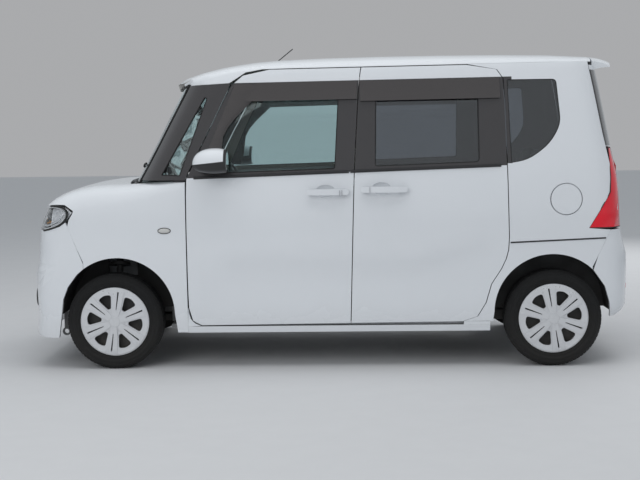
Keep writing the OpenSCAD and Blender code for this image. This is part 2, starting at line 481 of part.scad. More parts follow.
module tailgate() {
    // Rows: height, step across of the edge
    zs = [[772, 0.5], [800, 0.5], [900, 0.5], [1000, 0.5], [1100, 0.5], [1216, 0.5], [1223, 1], [1300, 1], [1420, 1], [1540, 1], [1620, 1], [1674, 1]];
    ys = [-1, -0.92, -0.84, -0.72, -0.55, -0.3, 0, 0.3, 0.55, 0.72, 0.84, 0.92, 1];
    function grid(d) = [for (s = ys) [for (r = zs) tail_point(s * r[1], r[0], tail_x(r[0]) - 70 + gap, d)]];
    // Top edge and spoiler, flush with the roof
    us = [0, 0.2, 0.5, 0.8, 1];
    ss = [-1, -0.97, -0.9, -0.75, -0.5, 0, 0.5, 0.75, 0.9, 0.97, 1];
    function top(d) = [for (u = us) [for (s = ss)
        let (x0 = roof_back + 11, x1 = tail - 90 - 22 * pow(abs(s), 3), x = x0 + u * (x1 - x0), w = cabin(min(x, tail - 215), eave_z(x0)) - 14 * u)
        [x, s * w, roof_at(x0, s) - 26 * u * u - d * (52 - 44 * u)]]];
    color("white") difference() {
        union() {
            slab(grid(0), grid(40));
            slab(top(0), top(1));
        }
        translate([tail - 300, 0, 0]) rotate([90, 0, 90]) linear_extrude(400) polygon(rounded(tailgate_window));
        both() {
            box([roof_back, -314, tailgate_pin[1] - 70], [tailgate_pin[0] + 12, -286, tailgate_pin[1] + 40]);
            translate([tailgate_pin[0], -334, tailgate_pin[1]]) rotate([-90, 0, 0]) cylinder(r = 4 + running, h = 68, $fn = 24);
        }
    }
}
tailgate_window = [[-545, 1240, 40], [545, 1240, 40], [505, 1600, 40], [-505, 1600, 40]];
module tailgate_glass() {
    zs = [1216, 1300, 1420, 1540, 1640];
    ys = [-1, -0.6, -0.2, 0.2, 0.6, 1];
    function grid(d) = [for (s = ys) [for (z = zs) let (y = s * 580) [tail_x(z) - corner_d(side_w(z), tail_a, tail_n, y) - d, y, z]]];
    color("dimgray") intersection() {
        slab(grid(8), grid(8 + glass_t));
        translate([tail - 300, 0, 0]) rotate([90, 0, 90]) linear_extrude(400) polygon(rounded(drawn_in(tailgate_window, fit)));
    }
}
module fuel_lid() {
    r = lid_r + 6;
    function skin(d) = [for (i = [0:1]) [for (k = [0:6]) let (x = lid_c[0] + (2 * i - 1) * r, z = lid_c[1] + (k / 3 - 1) * r) [x, -flank(x, z) + d, z]]];
    color("white") difference() {
        union() {
            intersection() {
                slab(skin(0), skin(lid_t));
                translate([lid_c[0], -half_w + 40, lid_c[1]]) rotate([90, 0, 0]) cylinder(r = lid_r, h = 80, $fn = 64);
            }
            // Curved arm round the edge of the pocket
            translate([lid_pin[0], lid_pin[1], lid_c[1] - 12]) {
                cylinder(r = 4, h = 24, $fn = 24);
                linear_extrude(24) polygon([[-3, 0], [3, 0], [3, 15.5], [27.5, 15.5], [27.5, -9], [32.5, -9], [32.5, 20.5], [-3, 20.5]]);
            }
        }
        translate([lid_pin[0], lid_pin[1], lid_c[1] - 30]) cylinder(r = 2 + running, h = 60, $fn = 24);
    }
}

module floor_pan() color("gray") {
    // Cross section of a sill: the strip under the doors and the box behind them
    both() rotate([90, 0, 90]) translate([0, 0, door_a - hinge_gap + seam]) linear_extrude(arch_b - arch_r - 24 - door_a + hinge_gap)
        polygon([[-half_w + 33, sill_z], [-half_w + 27, door_z - gap - 1], [-half_w + 62, door_z - gap - 1], [-half_w + 62, door_z + 14], [-half_w + 142, door_z + 14], [-half_w + 142, sill_z]]);
    both() box([door_a - 66, -half_w + 62, sill_z + 20], [door_a + 10, -half_w + 142, door_z + 14]);
    // Gusset ahead of the front door's rounded lower corner, and the sill's end under the quarter panel
    both() translate([0, -half_w + 52, 0]) rotate([90, 0, 0]) linear_extrude(24)
        polygon(concat([[door_a - hinge_gap + seam, level(0.12, door_a)], [door_a - hinge_gap + seam, door_z - gap - 2]],
            [for (v = [0, 0.006, 0.015, 0.03, 0.05, 0.08, 0.12]) [front_edge(v) - gap, max(door_z - gap - 1, level(v, door_a) - gap / 2)]]));
    both() box([door_c - 246, -half_w + 28, door_z - gap - 2], [arch_b - arch_r - 24, -half_w + 50, door_low(door_c - 246) - seam]);
    // Side profile of the floor: front, seat platform, load floor
    translate([0, half_w - 140, 0]) rotate([90, 0, 0]) linear_extrude(width - 280)
        polygon([[axle_f + 303, 215], [axle_f + 303, 235], [axle_r - 720, 235], [axle_r - 640, 350], [axle_r - 342, 350], [axle_r - 342, 330], [axle_r - 630, 330], [axle_r - 710, 215]]);
    translate([0, floor_half, 0]) rotate([90, 0, 0]) linear_extrude(2 * floor_half)
        polygon([[axle_r - 346, 330], [axle_r - 346, 350], [axle_r - 40, 350], [axle_r, 520], [tail - 75, 520], [tail - 75, 500], [axle_r + 16, 500], [axle_r - 24, 330]]);
    // Rear wall under the tailgate
    box([tail - 102, -floor_half + 20, 440], [tail - 86, floor_half - 20, 758]);
}
module front_frame() color("gray") {
    box([axle_f + 282, -liner_in + fit, 225], [axle_f + 302.7, liner_in - fit, 650]);
    box([axle_f + 282, -half_w + 140.5, 642], [axle_f + 302.7, half_w - 140.5, 985]);
    box([nose + 79, -tower_y - 28, 420], [nose + 99, tower_y + 28, 780]);
    both() {
        box([nose + 95, -tower_y + 2, 420], [axle_f + 286, -tower_y + 52, 490]);
        box([axle_f - 90, -tower_y, 480], [axle_f + 120, -tower_y + 20, 826]);
        difference() {
            box([axle_f - 90, -half_w + 117.5, 814], [axle_f + 120, -tower_y + 20, 826]);
            rod(kingpin_low, kingpin_top + (kingpin_top - kingpin_low) * 0.2, 19 + running);
        }
        box([axle_f - 250, -half_w + 97.5, 822], [axle_f + 300, -half_w + 141.5, 862]);
        for (x = [axle_f - 120, axle_f + 230]) box([x, -flank(x + 15, 844) + panel_t + fit + 0.4, 832], [x + 30, -half_w + 101.5, 856]);
        box([axle_f + 290, -half_w + 97.5, 640], [door_a - 70 - fit, -half_w + 141, 985]);
        // Bonnet hinge ear and pin
        box([bonnet_pin[0] - 6, -602, 850], [bonnet_pin[0] + 6, -590, bonnet_pin[1]]);
        translate([bonnet_pin[0], -602, bonnet_pin[1]]) rotate([-90, 0, 0]) cylinder(r = 6, h = 12, $fn = 24);
        translate([bonnet_pin[0], -602, bonnet_pin[1]]) rotate([-90, 0, 0]) cylinder(r = 4, h = 40, $fn = 24);
    }
    // Tow eye under the bumper
    difference() {
        union() {
            box([nose + 118, -372, 160], [nose + 142, -358, 425]);
            translate([nose + 130, -358, 160]) rotate([90, 0, 0]) cylinder(r = 25, h = 14, $fn = 48);
        }
        translate([nose + 130, -350, 160]) rotate([90, 0, 0]) cylinder(r = 14, h = 30, $fn = 48);
    }
    // Plenum that carries the cowl
    box([axle_f + 150, -560, 900], [axle_f + 290, 560, 985]);
    box([axle_f + 150, -560, 980], [axle_f + 165, 560, 1009.4]);
}
wheel_hub = [axle_f + 640, 310, 970];
module dashboard() color("dimgray") {
    translate(wheel_hub) rotate([0, 62, 0]) {
        translate([0, 0, -180]) cylinder(r = 24, h = 180 - 24.6, $fn = 40);
        translate([0, 0, -40]) cylinder(r = 9, h = 34, $fn = 40);
    }
    translate([0, 596, 0]) rotate([90, 0, 0]) linear_extrude(1192)
    polygon([[axle_f + 303, 780], [axle_f + 303, 985.3], [axle_f + 215, 985.3], [axle_f + 215, 1008], [axle_f + 470, 1005], [axle_f + 530, 960], [axle_f + 545, 880], [axle_f + 500, 790]]);
}
// Seat from side profiles: x from its front edge, z, corner
module seat(w) {
    for (y = [-w / 2 + 60, w / 2 - 60]) translate([0, y, 0]) box([40, -20, 235.2], [400, 20, 330]);
    across([[0, 322, 34], [470, 322, 30], [480, 440, 40], [30, 462, 26], [-14, 420, 26]], -w / 2, w / 2);
    across([[418, 420, 30], [500, 398, 40], [668, 960, 26], [672, 1020, 26], [610, 1022, 26], [578, 930, 50]], -w / 2, w / 2);
    across([[598, 1052, 30], [676, 1046, 30], [706, 1216, 30], [640, 1230, 30]], -125, 125);
    for (y = [-50, 50]) rod([636, y, 1000], [644, y, 1080], 7, 24);
}
module front_seats() color("tan") for (y = [-310, 310]) translate([axle_f + 740, y, 0]) seat(480);
module rear_seat() color("tan") for (y = [-268, 268]) translate([axle_r - 640, y, 0]) {
    box([60, -200, 350.2], [500, 200, 420]);
    across([[-14, 388, 40], [470, 388, 30], [470, 512, 40], [20, 534, 60]], -250, 250);
    across([[440, 492, 30], [520, 484, 40], [656, 1000, 15], [650, 1032, 15], [588, 1034, 26], [560, 980, 26]], -250, 250);
    across([[582, 1052, 28], [650, 1048, 28], [670, 1198, 30], [604, 1208, 30]], -118, 118);
    for (k = [-45, 45]) rod([616, k, 1010], [622, k, 1080], 7, 24);
}
module engine() color("darkgray") box([nose + 130, -tower_y + 57, 290.3], [axle_f + 130, tower_y - 57, 780]);
module front_subframe() color("black") {
    box([axle_f - 160, -tower_y + 62, 210], [axle_f + 200, tower_y - 62, 290]);
    both() hull() {
        translate([axle_f + 20, -tower_y + 72, 232]) cube([160, 20, 40], center = true);
        translate(kingpin_low + [0, 6, -8]) cylinder(r = 20, h = 16, center = true, $fn = 24);
    }
    both() rod(kingpin_low - 0.02 * (kingpin_top - kingpin_low), kingpin_low + 0.05 * (kingpin_top - kingpin_low), 9);
    both() box([axle_f + 180, -tower_y - 8, 226], [axle_f + 281.7, -tower_y + 92, 262]);
}
// Upright with strut, turning about the line from the lower joint to the strut's top
module knuckle() {
    d = kingpin_top - kingpin_low;
    tilt = [0, acos(d[2] / norm(d)), atan2(d[1], d[0])];
    difference() {
        union() {
            rod(kingpin_low + 0.03 * d, kingpin_low + 0.3 * d, 24);
            translate([axle_f, -track / 2 + 18, hub_z]) rotate([90, 0, 0]) cylinder(r = 42, h = 28, center = true, $fn = 48);
            translate([axle_f, -track / 2 + 30, hub_z]) rotate([90, 0, 0]) cylinder(r = spindle_r, h = 80, $fn = 48);
            rod(kingpin_low + 0.28 * d, kingpin_low + 1.012 * d, 19);
            rod(kingpin_low + 0.15 * d, kingpin_low + 0.15 * d + [110, 8, 0], 11);
            translate(kingpin_low + 0.62 * d) rotate(tilt) cylinder(r = 62, h = 8, $fn = 48);
            // Coil spring, drawn as rings joined by a rib
            translate(kingpin_low + 0.62 * d) rotate(tilt) {
                for (k = [0:4]) translate([0, 0, 13 + k * 38]) rotate_extrude($fn = 48) translate([50, 0]) circle(r = 7, $fn = 16);
                for (a = [0, 180]) rotate(a) translate([46, -3, 0]) cube([8, 6, 172]);
            }
        }
        rod(kingpin_low - 0.1 * d, kingpin_low + 0.055 * d, 9 + running);
    }
}
module knuckle_left() color("gray") knuckle();
module knuckle_right() color("gray") mirror([0, 1, 0]) knuckle();
module rear_axle() color("black") {
    box([axle_r - 330, -floor_half + 50, 236], [axle_r - 270, floor_half - 50, 290]);
    both() {
        hull() {
            translate([axle_r - 300, -floor_half + 70, 262]) rotate([90, 0, 0]) cylinder(r = 28, h = 60, center = true, $fn = 24);
            translate([axle_r, -floor_half + 30, hub_z]) rotate([90, 0, 0]) cylinder(r = 38, h = 40, center = true, $fn = 24);
        }
        translate([axle_r, -track / 2 + 4.5, hub_z]) rotate([-90, 0, 0]) cylinder(r = 36, h = 120, $fn = 48);
        translate([axle_r, -track / 2 + 20, hub_z]) rotate([90, 0, 0]) cylinder(r = spindle_r, h = 70, $fn = 48);
        box([axle_r + 10, -floor_half + 10, hub_z - 12], [axle_r + 92, -floor_half + 48, hub_z + 14]);
        // Bush bracket up to the floor
        box([axle_r - 326, -floor_half + 54, 286], [axle_r - 274, -floor_half + 94, 330 - fit]);
    }
}
module rear_dampers() color("dimgray") both() translate([axle_r + 66, -floor_half + 32, hub_z + 14.3]) cylinder(r = 20, h = 485.4 - hub_z, $fn = 32);
module fuel_tank() color("black") box([axle_r - 622, -floor_half + 160, 190], [axle_r - 360, floor_half - 160, 330 - fit]);
module exhaust() color("silver") {
    side = floor_half - 115;
    // Places of the pipe's bends, from the engine to the silencer
    route = [[axle_f + 240, 60, 178], [axle_r - 720, 60, 178], [axle_r - 645, side, 178], [axle_r - 350, side, 188], [axle_r + 110, side - 30, 215], [axle_r + 235, side - 120, 330]];
    // Lengths of pipe slipped into one another, wide and narrow by turns
    for (i = [0:len(route) - 2]) {
        slip = 12 * (route[i + 1] - route[i]) / norm(route[i + 1] - route[i]);
        rod(route[i] - slip, route[i + 1] + slip, i % 2 == 0 ? 20 : 21.5);
    }
    rod([axle_r + 235, side - 480, 330], [axle_r + 235, side - 100, 330], 84, 48);
    rod([axle_r + 290, side - 180, 300], [tail - 76, side - 180, 242], 22);
    for (x = [axle_f + 420, axle_r - 900]) box([x, 45, 190], [x + 20, 75, 215 - fit]);
    for (y = [side - 440, side - 160]) box([axle_r + 225, y, 400], [axle_r + 245, y + 30, 500 - fit]);
}
function liner_y(x) = min(flank(x - arch_r, arch_z), flank(x + arch_r, arch_z)) - panel_t - fit - 1;
module liner(x, y0, y1) difference() {
    translate([x, y1, arch_z]) rotate([90, 0, 0]) cylinder(r = arch_r + 4, h = y1 - y0, $fn = 96);
    translate([x, y1 - 4, arch_z]) rotate([90, 0, 0]) cylinder(r = arch_r, h = y1 - y0, $fn = 96);
    box([x - 400, y0 - 10, -50], [x + 400, y1 + 10, arch_z]);
}
module wheel_liners() color("black") both() {
    difference() {
        liner(arch_f, -liner_y(arch_f), -liner_in);
        box([axle_f - 84, kingpin_low[1] + 17.5, 500], [axle_f + 84, kingpin_low[1] + 217.5, 700]);
    }
    liner(arch_b, -liner_y(arch_b) + 3, -floor_half - fit);
}
// Wheel in its own place: axis along Y, outer face towards -Y
tyre_rows = [[rim_r - 14, 59.7], [rim_r + 2.3, 59.7], [rim_r + 2.3, 66], [rim_r + 24, 74], [tyre_r - 38, 77.5], [tyre_r - 14, 70], [tyre_r - 3, 58], [tyre_r, 40]];
function tyre_half(k) = [for (i = [0:len(tyre_rows) - 1]) let (r = tyre_rows[k > 0 ? i : len(tyre_rows) - 1 - i]) [r[0], k * r[1] * tyre_w / 155]];
module tyre_body() rotate([90, 0, 0]) rotate_extrude($fn = 96) polygon(concat(tyre_half(1), tyre_half(-1)));
module wheel_body() {
    k = tyre_w / 155;
    rotate([90, 0, 0]) rotate_extrude($fn = 96) polygon([[rim_r - 14 - fit, 60 * k], [rim_r + 2, 60 * k], [rim_r + 2, 66 * k], [rim_r - 24, 62 * k],
        [rim_r - 30, 20], [60, 20], [60, 44], [spindle_r + running, 44], [spindle_r + running, 3], [60, 3], [rim_r - 36, 7], [rim_r - 24, -62 * k], [rim_r + 2, -66 * k], [rim_r + 2, -60 * k], [rim_r - 14 - fit, -60 * k]]);
    translate([0, -66 * k, 0]) cover();
}
// Wheel cover: a dish with a window between the spoke pairs; each pair is raised and split by a slit
window_points = [[76, -9, 7], [rim_r - 45, -40, 15], [rim_r - 31, 0, 20], [rim_r - 45, 40, 15], [76, 9, 7]];
pair_points = [[30, -15], [76, -25], [rim_r - 42, -31], [rim_r + 10, -43], [rim_r + 10, 43], [rim_r - 42, 31], [76, 25], [30, 15]];
slit_points = [[68, -2], [rim_r - 22, -4.5], [rim_r - 22, 4.5], [68, 2]];
module cover() rotate([90, 0, 0]) {
    step = 360 / spokes;
    difference() {
        union() {
            rotate_extrude($fn = 96) polygon([[0, -6], [rim_r - 24, -6], [rim_r + 1, 0.3], [rim_r + 1, 4], [rim_r - 6, 8], [rim_r - 22, 6], [66, 4], [44, 10], [26, 15], [0, 17]]);
            intersection() {
                rotate_extrude($fn = 96) polygon([[18, -2], [rim_r - 3, -2], [rim_r - 3, 6], [rim_r - 14, 10.5], [96, 11], [52, 13.5], [18, 14.7]]);
                for (k = [0:spokes - 1]) rotate(step * k) translate([0, 0, -10]) linear_extrude(40) polygon(pair_points);
            }
        }
        for (k = [0:spokes - 1]) rotate(step * (k + 0.5)) translate([0, 0, -40]) linear_extrude(80) polygon(rounded(window_points));
        for (k = [0:spokes - 1]) rotate(step * k) translate([0, 0, -40]) linear_extrude(80) polygon(slit_points);
    }
    rotate_extrude($fn = 48) polygon([[20, -24], [32, -24], [32, -4], [20, -4]]);
}
module tyre(x, y) translate([x, y, hub_z]) tyre_body();
module wheel(x, y, turn) translate([x, y, hub_z]) rotate([0, turn, 0]) wheel_body();
module tyre_front_left() color("black") tyre(axle_f, -track / 2);
module tyre_front_right() color("black") mirror([0, 1, 0]) tyre(axle_f, -track / 2);
module tyre_rear_left() color("black") tyre(axle_r, -track / 2);
module tyre_rear_right() color("black") mirror([0, 1, 0]) tyre(axle_r, -track / 2);
module wheel_front_left() color("silver") wheel(axle_f, -track / 2, -22);
module wheel_front_right() color("silver") mirror([0, 1, 0]) wheel(axle_f, -track / 2, -22);
module wheel_rear_left() color("silver") wheel(axle_r, -track / 2, -40);
module wheel_rear_right() color("silver") mirror([0, 1, 0]) wheel(axle_r, -track / 2, -40);
module steering_wheel() color("black") translate(wheel_hub) rotate([0, 62, 0]) difference() {
    union() {
        rotate_extrude($fn = 64) translate([172, 0]) circle(r = 14, $fn = 20);
        for (a = [90, 180, 270]) rotate(a) translate([0, -16, -6]) cube([165, 32, 12]);
        translate([0, 0, -24]) cylinder(r = 48, h = 34, $fn = 48);
    }
    translate([0, 0, -30]) cylinder(r = 9 + running, h = 26, $fn = 40);
}
module rear_doors() color("white") both() rear_door();
module rear_door_glass() color("dimgray") both() rear_glass();
module rear_door_visors() color("sienna") both() visor(door_b + 62, door_c - 44, 0, belt + 408, belt + 520);
module rear_door_handles() color("white") both() handle(door_b + 60, door_b + 318, 1001);
module front_door_left() color("white") front_door();
module front_door_glass_left() color("lightblue") front_glass();
module front_door_visor_left() color("sienna") visor(door_a + 330, door_b + 44, 60, belt + 420, belt + 522);
module front_door_handle_left() color("white") handle(door_a + 672, door_a + 905, 990);
module mirror_left() color("white") mirror_shell();
module front_door_right() color("white") mirror([0, 1, 0]) front_door();
module front_door_glass_right() color("lightblue") mirror([0, 1, 0]) front_glass();
module front_door_visor_right() color("sienna") mirror([0, 1, 0]) visor(door_a + 330, door_b + 44, 60, belt + 420, belt + 522);
module front_door_handle_right() color("white") mirror([0, 1, 0]) handle(door_a + 672, door_a + 905, 990);
module mirror_right() color("white") mirror([0, 1, 0]) mirror_shell();

floor_pan();
front_frame();
front_fenders();
front_bumper();
grille();
headlamps();
cowl();
windscreen();
pillars();
front_quarter_glass();
roof();
antenna();
quarter_panels();
quarter_glass();
tail_lamps();
rear_bumper();
rear_doors();
rear_door_glass();
rear_door_visors();
rear_door_handles();
dashboard();
front_seats();
rear_seat();
engine();
front_subframe();
rear_axle();
rear_dampers();
fuel_tank();
exhaust();
wheel_liners();
bonnet();
tailgate();
tailgate_glass();
fuel_lid();
steering_wheel();
front_door_left();
front_door_glass_left();
front_door_visor_left();
front_door_handle_left();
mirror_left();
front_door_right();
front_door_glass_right();
front_door_visor_right();
front_door_handle_right();
mirror_right();
knuckle_left();
knuckle_right();
tyre_front_left();
tyre_front_right();
tyre_rear_left();
tyre_rear_right();
wheel_front_left();
wheel_front_right();
wheel_rear_left();
wheel_rear_right();
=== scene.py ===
"""Looks of a white tall-wagon kei car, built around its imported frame. Metres; +X rear, +Y right, +Z up."""
import json
import math

import bpy
import numpy as np
from mathutils import Matrix, Vector
from mathutils.bvhtree import BVHTree
from mathutils.kdtree import KDTree

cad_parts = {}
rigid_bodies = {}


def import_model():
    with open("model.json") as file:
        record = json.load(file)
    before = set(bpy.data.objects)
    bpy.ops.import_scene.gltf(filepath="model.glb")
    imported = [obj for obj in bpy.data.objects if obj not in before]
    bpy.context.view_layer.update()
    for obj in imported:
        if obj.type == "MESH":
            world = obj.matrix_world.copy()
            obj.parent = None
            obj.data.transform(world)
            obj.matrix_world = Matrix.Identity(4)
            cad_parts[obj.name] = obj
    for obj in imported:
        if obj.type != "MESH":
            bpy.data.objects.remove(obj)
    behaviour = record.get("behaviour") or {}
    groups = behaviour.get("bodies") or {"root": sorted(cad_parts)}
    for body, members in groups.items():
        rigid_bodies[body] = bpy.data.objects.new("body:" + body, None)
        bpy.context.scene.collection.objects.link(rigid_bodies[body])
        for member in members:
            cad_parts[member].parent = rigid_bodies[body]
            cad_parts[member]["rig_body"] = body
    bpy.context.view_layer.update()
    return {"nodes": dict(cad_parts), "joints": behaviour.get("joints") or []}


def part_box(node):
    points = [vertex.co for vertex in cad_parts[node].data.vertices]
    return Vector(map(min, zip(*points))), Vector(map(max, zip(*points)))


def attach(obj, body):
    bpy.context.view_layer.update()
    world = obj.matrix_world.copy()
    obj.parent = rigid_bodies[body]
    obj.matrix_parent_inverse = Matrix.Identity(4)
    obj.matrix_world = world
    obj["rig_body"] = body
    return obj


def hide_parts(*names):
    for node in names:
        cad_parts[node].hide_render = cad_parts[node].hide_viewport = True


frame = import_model()
nodes = frame["nodes"]
joints = {j["name"]: j for j in frame["joints"]}

# Places read from the frame
AXLE_F = joints["wheel_front_left_spin"]["pos_m"][0]
AXLE_R = joints["wheel_rear_left_spin"]["pos_m"][0]
WHEEL_Y = abs(joints["wheel_front_left_spin"]["pos_m"][1])
HUB_Z = joints["wheel_front_left_spin"]["pos_m"][2]
NOSE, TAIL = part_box("front_bumper")[0].x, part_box("rear_bumper")[1].x
HALF_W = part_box("front_fenders")[1].y
DOOR_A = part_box("front_door_left")[0].x
DOOR_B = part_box("rear_doors")[0].x
DOOR_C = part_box("rear_doors")[1].x

# Lines that part the black window band from the painted panels: height at the front edge of the doors, rise per metre
BELT_Z, BELT_RISE = 1.072, 0.030
BAND_Z, BAND_RISE = 1.594, 0.011


def belt_z(x):
    return BELT_Z + BELT_RISE * (x - DOOR_A)


def band_z(x):
    return BAND_Z + BAND_RISE * (x - DOOR_A)


# Camera at the photograph's viewing angle: place, turns in radians, focal length in pixels of a 640 wide image
CAMERA_AT = Vector((0.1273, -7.235, 1.3207))
CAMERA_YAW, CAMERA_PITCH, CAMERA_ROLL = 0.02661, -0.09173, -0.01223
FOCAL_PX, IMAGE_W, SENSOR = 1174.5, 640, 36.0


def add_camera():
    data = bpy.data.cameras.new("camera")
    data.sensor_width = SENSOR
    data.lens = FOCAL_PX / IMAGE_W * SENSOR
    camera = bpy.data.objects.new("camera", data)
    bpy.context.collection.objects.link(camera)
    turn = Matrix.Rotation(CAMERA_YAW, 4, "Z") @ Matrix.Rotation(math.pi / 2 + CAMERA_PITCH, 4, "X")
    turn = turn @ Matrix.Rotation(CAMERA_ROLL, 4, "Z")
    camera.matrix_world = Matrix.Translation(CAMERA_AT) @ turn
    bpy.context.scene.camera = camera


def add_lamp(name, place, aim, size, power):
    """Soft lamp that isn't mirrored in the paint."""
    data = bpy.data.lights.new(name, "AREA")
    data.shape, data.size, data.size_y = "RECTANGLE", size[0], size[1]
    data.energy = power
    lamp = bpy.data.objects.new(name, data)
    bpy.context.collection.objects.link(lamp)
    lamp.visible_glossy = False
    lamp.matrix_world = Matrix.Translation(place) @ (Vector(aim) - Vector(place)).to_track_quat("-Z", "Y").to_matrix().to_4x4()


def add_stage():
    bpy.context.scene.view_settings.view_transform = "Standard"
    world = bpy.data.worlds.new("studio")
    bpy.context.scene.world = world
    world.use_nodes = True
    tree = world.node_tree
    sky = tree.nodes["Background"]
    sky.inputs["Color"].default_value = (0.90, 0.95, 1.0, 1)
    sky.inputs["Strength"].default_value = 0.50
    seen = linked(tree, "ShaderNodeBackground", {"Color": (0.40, 0.405, 0.415, 1), "Strength": 1.0})
    looked_at = tree.nodes.new("ShaderNodeLightPath").outputs["Is Camera Ray"]
    mixed = linked(tree, "ShaderNodeMixShader", {0: looked_at, 1: sky.outputs[0], 2: seen.outputs[0]})
    tree.links.new(mixed.outputs[0], tree.nodes["World Output"].inputs["Surface"])
    add_lamp("overhead", (0.4, -1.2, 5.2), (0.2, 0.2, 0), (6.0, 4.0), 105)
    add_lamp("side", (-3.2, -6.5, 3.6), (0, 0, 0.8), (4.0, 3.0), 110)
    add_lamp("back", (3.5, 5.5, 3.6), (0.4, 0, 0.9), (4.0, 3.0), 110)
    bpy.ops.mesh.primitive_plane_add(size=60)
    floor = bpy.context.object
    floor.name = "floor"
    bpy.ops.object.mode_set(mode="EDIT")
    bpy.ops.mesh.subdivide(number_cuts=2)
    bpy.ops.object.mode_set(mode="OBJECT")
    floor.data.materials.append(finish("pale_floor", (0.66, 0.665, 0.675), second=(0.63, 0.635, 0.645), rough=(0.75, 0.9), scale=6,
            bump=0.02))


# Shared effects: one group for grained and dusty surfaces whose tone wanders, one for cloth
def socket_in(tree, name, kind, value):
    item = tree.interface.new_socket(name, in_out="INPUT", socket_type=kind)
    item.default_value = value
    return item


def linked(tree, kind, inputs, **settings):
    """A node with its settings, whose inputs take a socket or a value."""
    node = tree.nodes.new(kind)
    for key, value in settings.items():
        setattr(node, key, value)
    for key, value in inputs.items():
        if isinstance(value, bpy.types.NodeSocket):
            tree.links.new(value, node.inputs[key])
        else:
            node.inputs[key].default_value = value
    return node


def surface_group():
    """Colour that wanders between two tones, road dust that fades with height, roughness and fine grain."""
    tree = bpy.data.node_groups.new("surface_finish", "ShaderNodeTree")
    for name, tone in (("First", 0.8), ("Second", 0.7)):
        socket_in(tree, name, "NodeSocketColor", (tone, tone, tone, 1))
    for name, value in (("Scale", 20.0), ("Grain", 600.0), ("Smooth", 0.3), ("Rough", 0.5), ("Dust", 0.0), ("Dust reach", 0.5)):
        socket_in(tree, name, "NodeSocketFloat", value)
    for name, kind in (("Colour", "NodeSocketColor"), ("Roughness", "NodeSocketFloat"), ("Height", "NodeSocketFloat")):
        tree.interface.new_socket(name, in_out="OUTPUT", socket_type=kind)
    given = tree.nodes.new("NodeGroupInput")
    result = tree.nodes.new("NodeGroupOutput")
    place = tree.nodes.new("ShaderNodeTexCoord").outputs["Object"]
    patches = linked(tree, "ShaderNodeTexNoise", {"Vector": place, "Scale": given.outputs["Scale"], "Detail": 5.0,
            "Roughness": 0.62})
    grain = linked(tree, "ShaderNodeTexNoise", {"Vector": place, "Scale": given.outputs["Grain"], "Detail": 2.0})
    tones = linked(tree, "ShaderNodeMix", {0: patches.outputs["Fac"], 6: given.outputs["First"], 7: given.outputs["Second"]},
            data_type="RGBA")
    height = linked(tree, "ShaderNodeSeparateXYZ", {0: place}).outputs["Z"]
    fade = linked(tree, "ShaderNodeMapRange", {"Value": height, "From Min": 0.12, "From Max": given.outputs["Dust reach"],
            "To Min": 1.0, "To Max": 0.0}, interpolation_type="SMOOTHSTEP")
    veil = linked(tree, "ShaderNodeMath", {0: fade.outputs[0], 1: patches.outputs["Fac"]}, operation="MULTIPLY")
    dust = linked(tree, "ShaderNodeMath", {0: veil.outputs[0], 1: given.outputs["Dust"]}, operation="MULTIPLY", use_clamp=True)
    dusty = linked(tree, "ShaderNodeMix", {0: dust.outputs[0], 6: tones.outputs[2], 7: (0.34, 0.31, 0.27, 1)}, data_type="RGBA")
    rough = linked(tree, "ShaderNodeMapRange", {"Value": patches.outputs["Fac"], "From Min": 0.3, "From Max": 0.7,
            "To Min": given.outputs["Smooth"], "To Max": given.outputs["Rough"]})
    dull = linked(tree, "ShaderNodeMath", {0: rough.outputs[0], 1: dust.outputs[0]}, operation="ADD", use_clamp=True)
    tree.links.new(dusty.outputs[2], result.inputs["Colour"])
    tree.links.new(dull.outputs[0], result.inputs["Roughness"])
    tree.links.new(grain.outputs["Fac"], result.inputs["Height"])
    return tree


def weave_group():
    """Plain weave of two thread directions, with flecks of a second yarn."""
    tree = bpy.data.node_groups.new("woven_cloth", "ShaderNodeTree")
    socket_in(tree, "Yarn", "NodeSocketColor", (0.4, 0.36, 0.3, 1))
    socket_in(tree, "Fleck", "NodeSocketColor", (0.2, 0.18, 0.16, 1))
    socket_in(tree, "Threads", "NodeSocketFloat", 260.0)
    for name, kind in (("Colour", "NodeSocketColor"), ("Height", "NodeSocketFloat")):
        tree.interface.new_socket(name, in_out="OUTPUT", socket_type=kind)
    given = tree.nodes.new("NodeGroupInput")
    result = tree.nodes.new("NodeGroupOutput")
    place = tree.nodes.new("ShaderNodeTexCoord").outputs["Object"]
    warp = linked(tree, "ShaderNodeTexWave", {"Vector": place, "Scale": given.outputs["Threads"], "Distortion": 0.4},
            bands_direction="Y")
    weft = linked(tree, "ShaderNodeTexWave", {"Vector": place, "Scale": given.outputs["Threads"], "Distortion": 0.4},
            bands_direction="DIAGONAL")
    cross = linked(tree, "ShaderNodeMath", {0: warp.outputs["Fac"], 1: weft.outputs["Fac"]}, operation="MULTIPLY")
    flecks = linked(tree, "ShaderNodeTexNoise", {"Vector": place, "Scale": 90.0, "Detail": 4.0})
    share = linked(tree, "ShaderNodeMapRange", {"Value": flecks.outputs["Fac"], "From Min": 0.42, "From Max": 0.62})
    colour = linked(tree, "ShaderNodeMix", {0: share.outputs[0], 6: given.outputs["Yarn"], 7: given.outputs["Fleck"]},
            data_type="RGBA")
    shade = linked(tree, "ShaderNodeMapRange", {"Value": cross.outputs[0], "To Min": 0.72, "To Max": 1.08})
    woven = linked(tree, "ShaderNodeVectorMath", {0: colour.outputs[2], "Scale": shade.outputs[0]}, operation="SCALE")
    tree.links.new(woven.outputs[0], result.inputs["Colour"])
    tree.links.new(cross.outputs[0], result.inputs["Height"])
    return tree


SURFACE, WEAVE = surface_group(), weave_group()


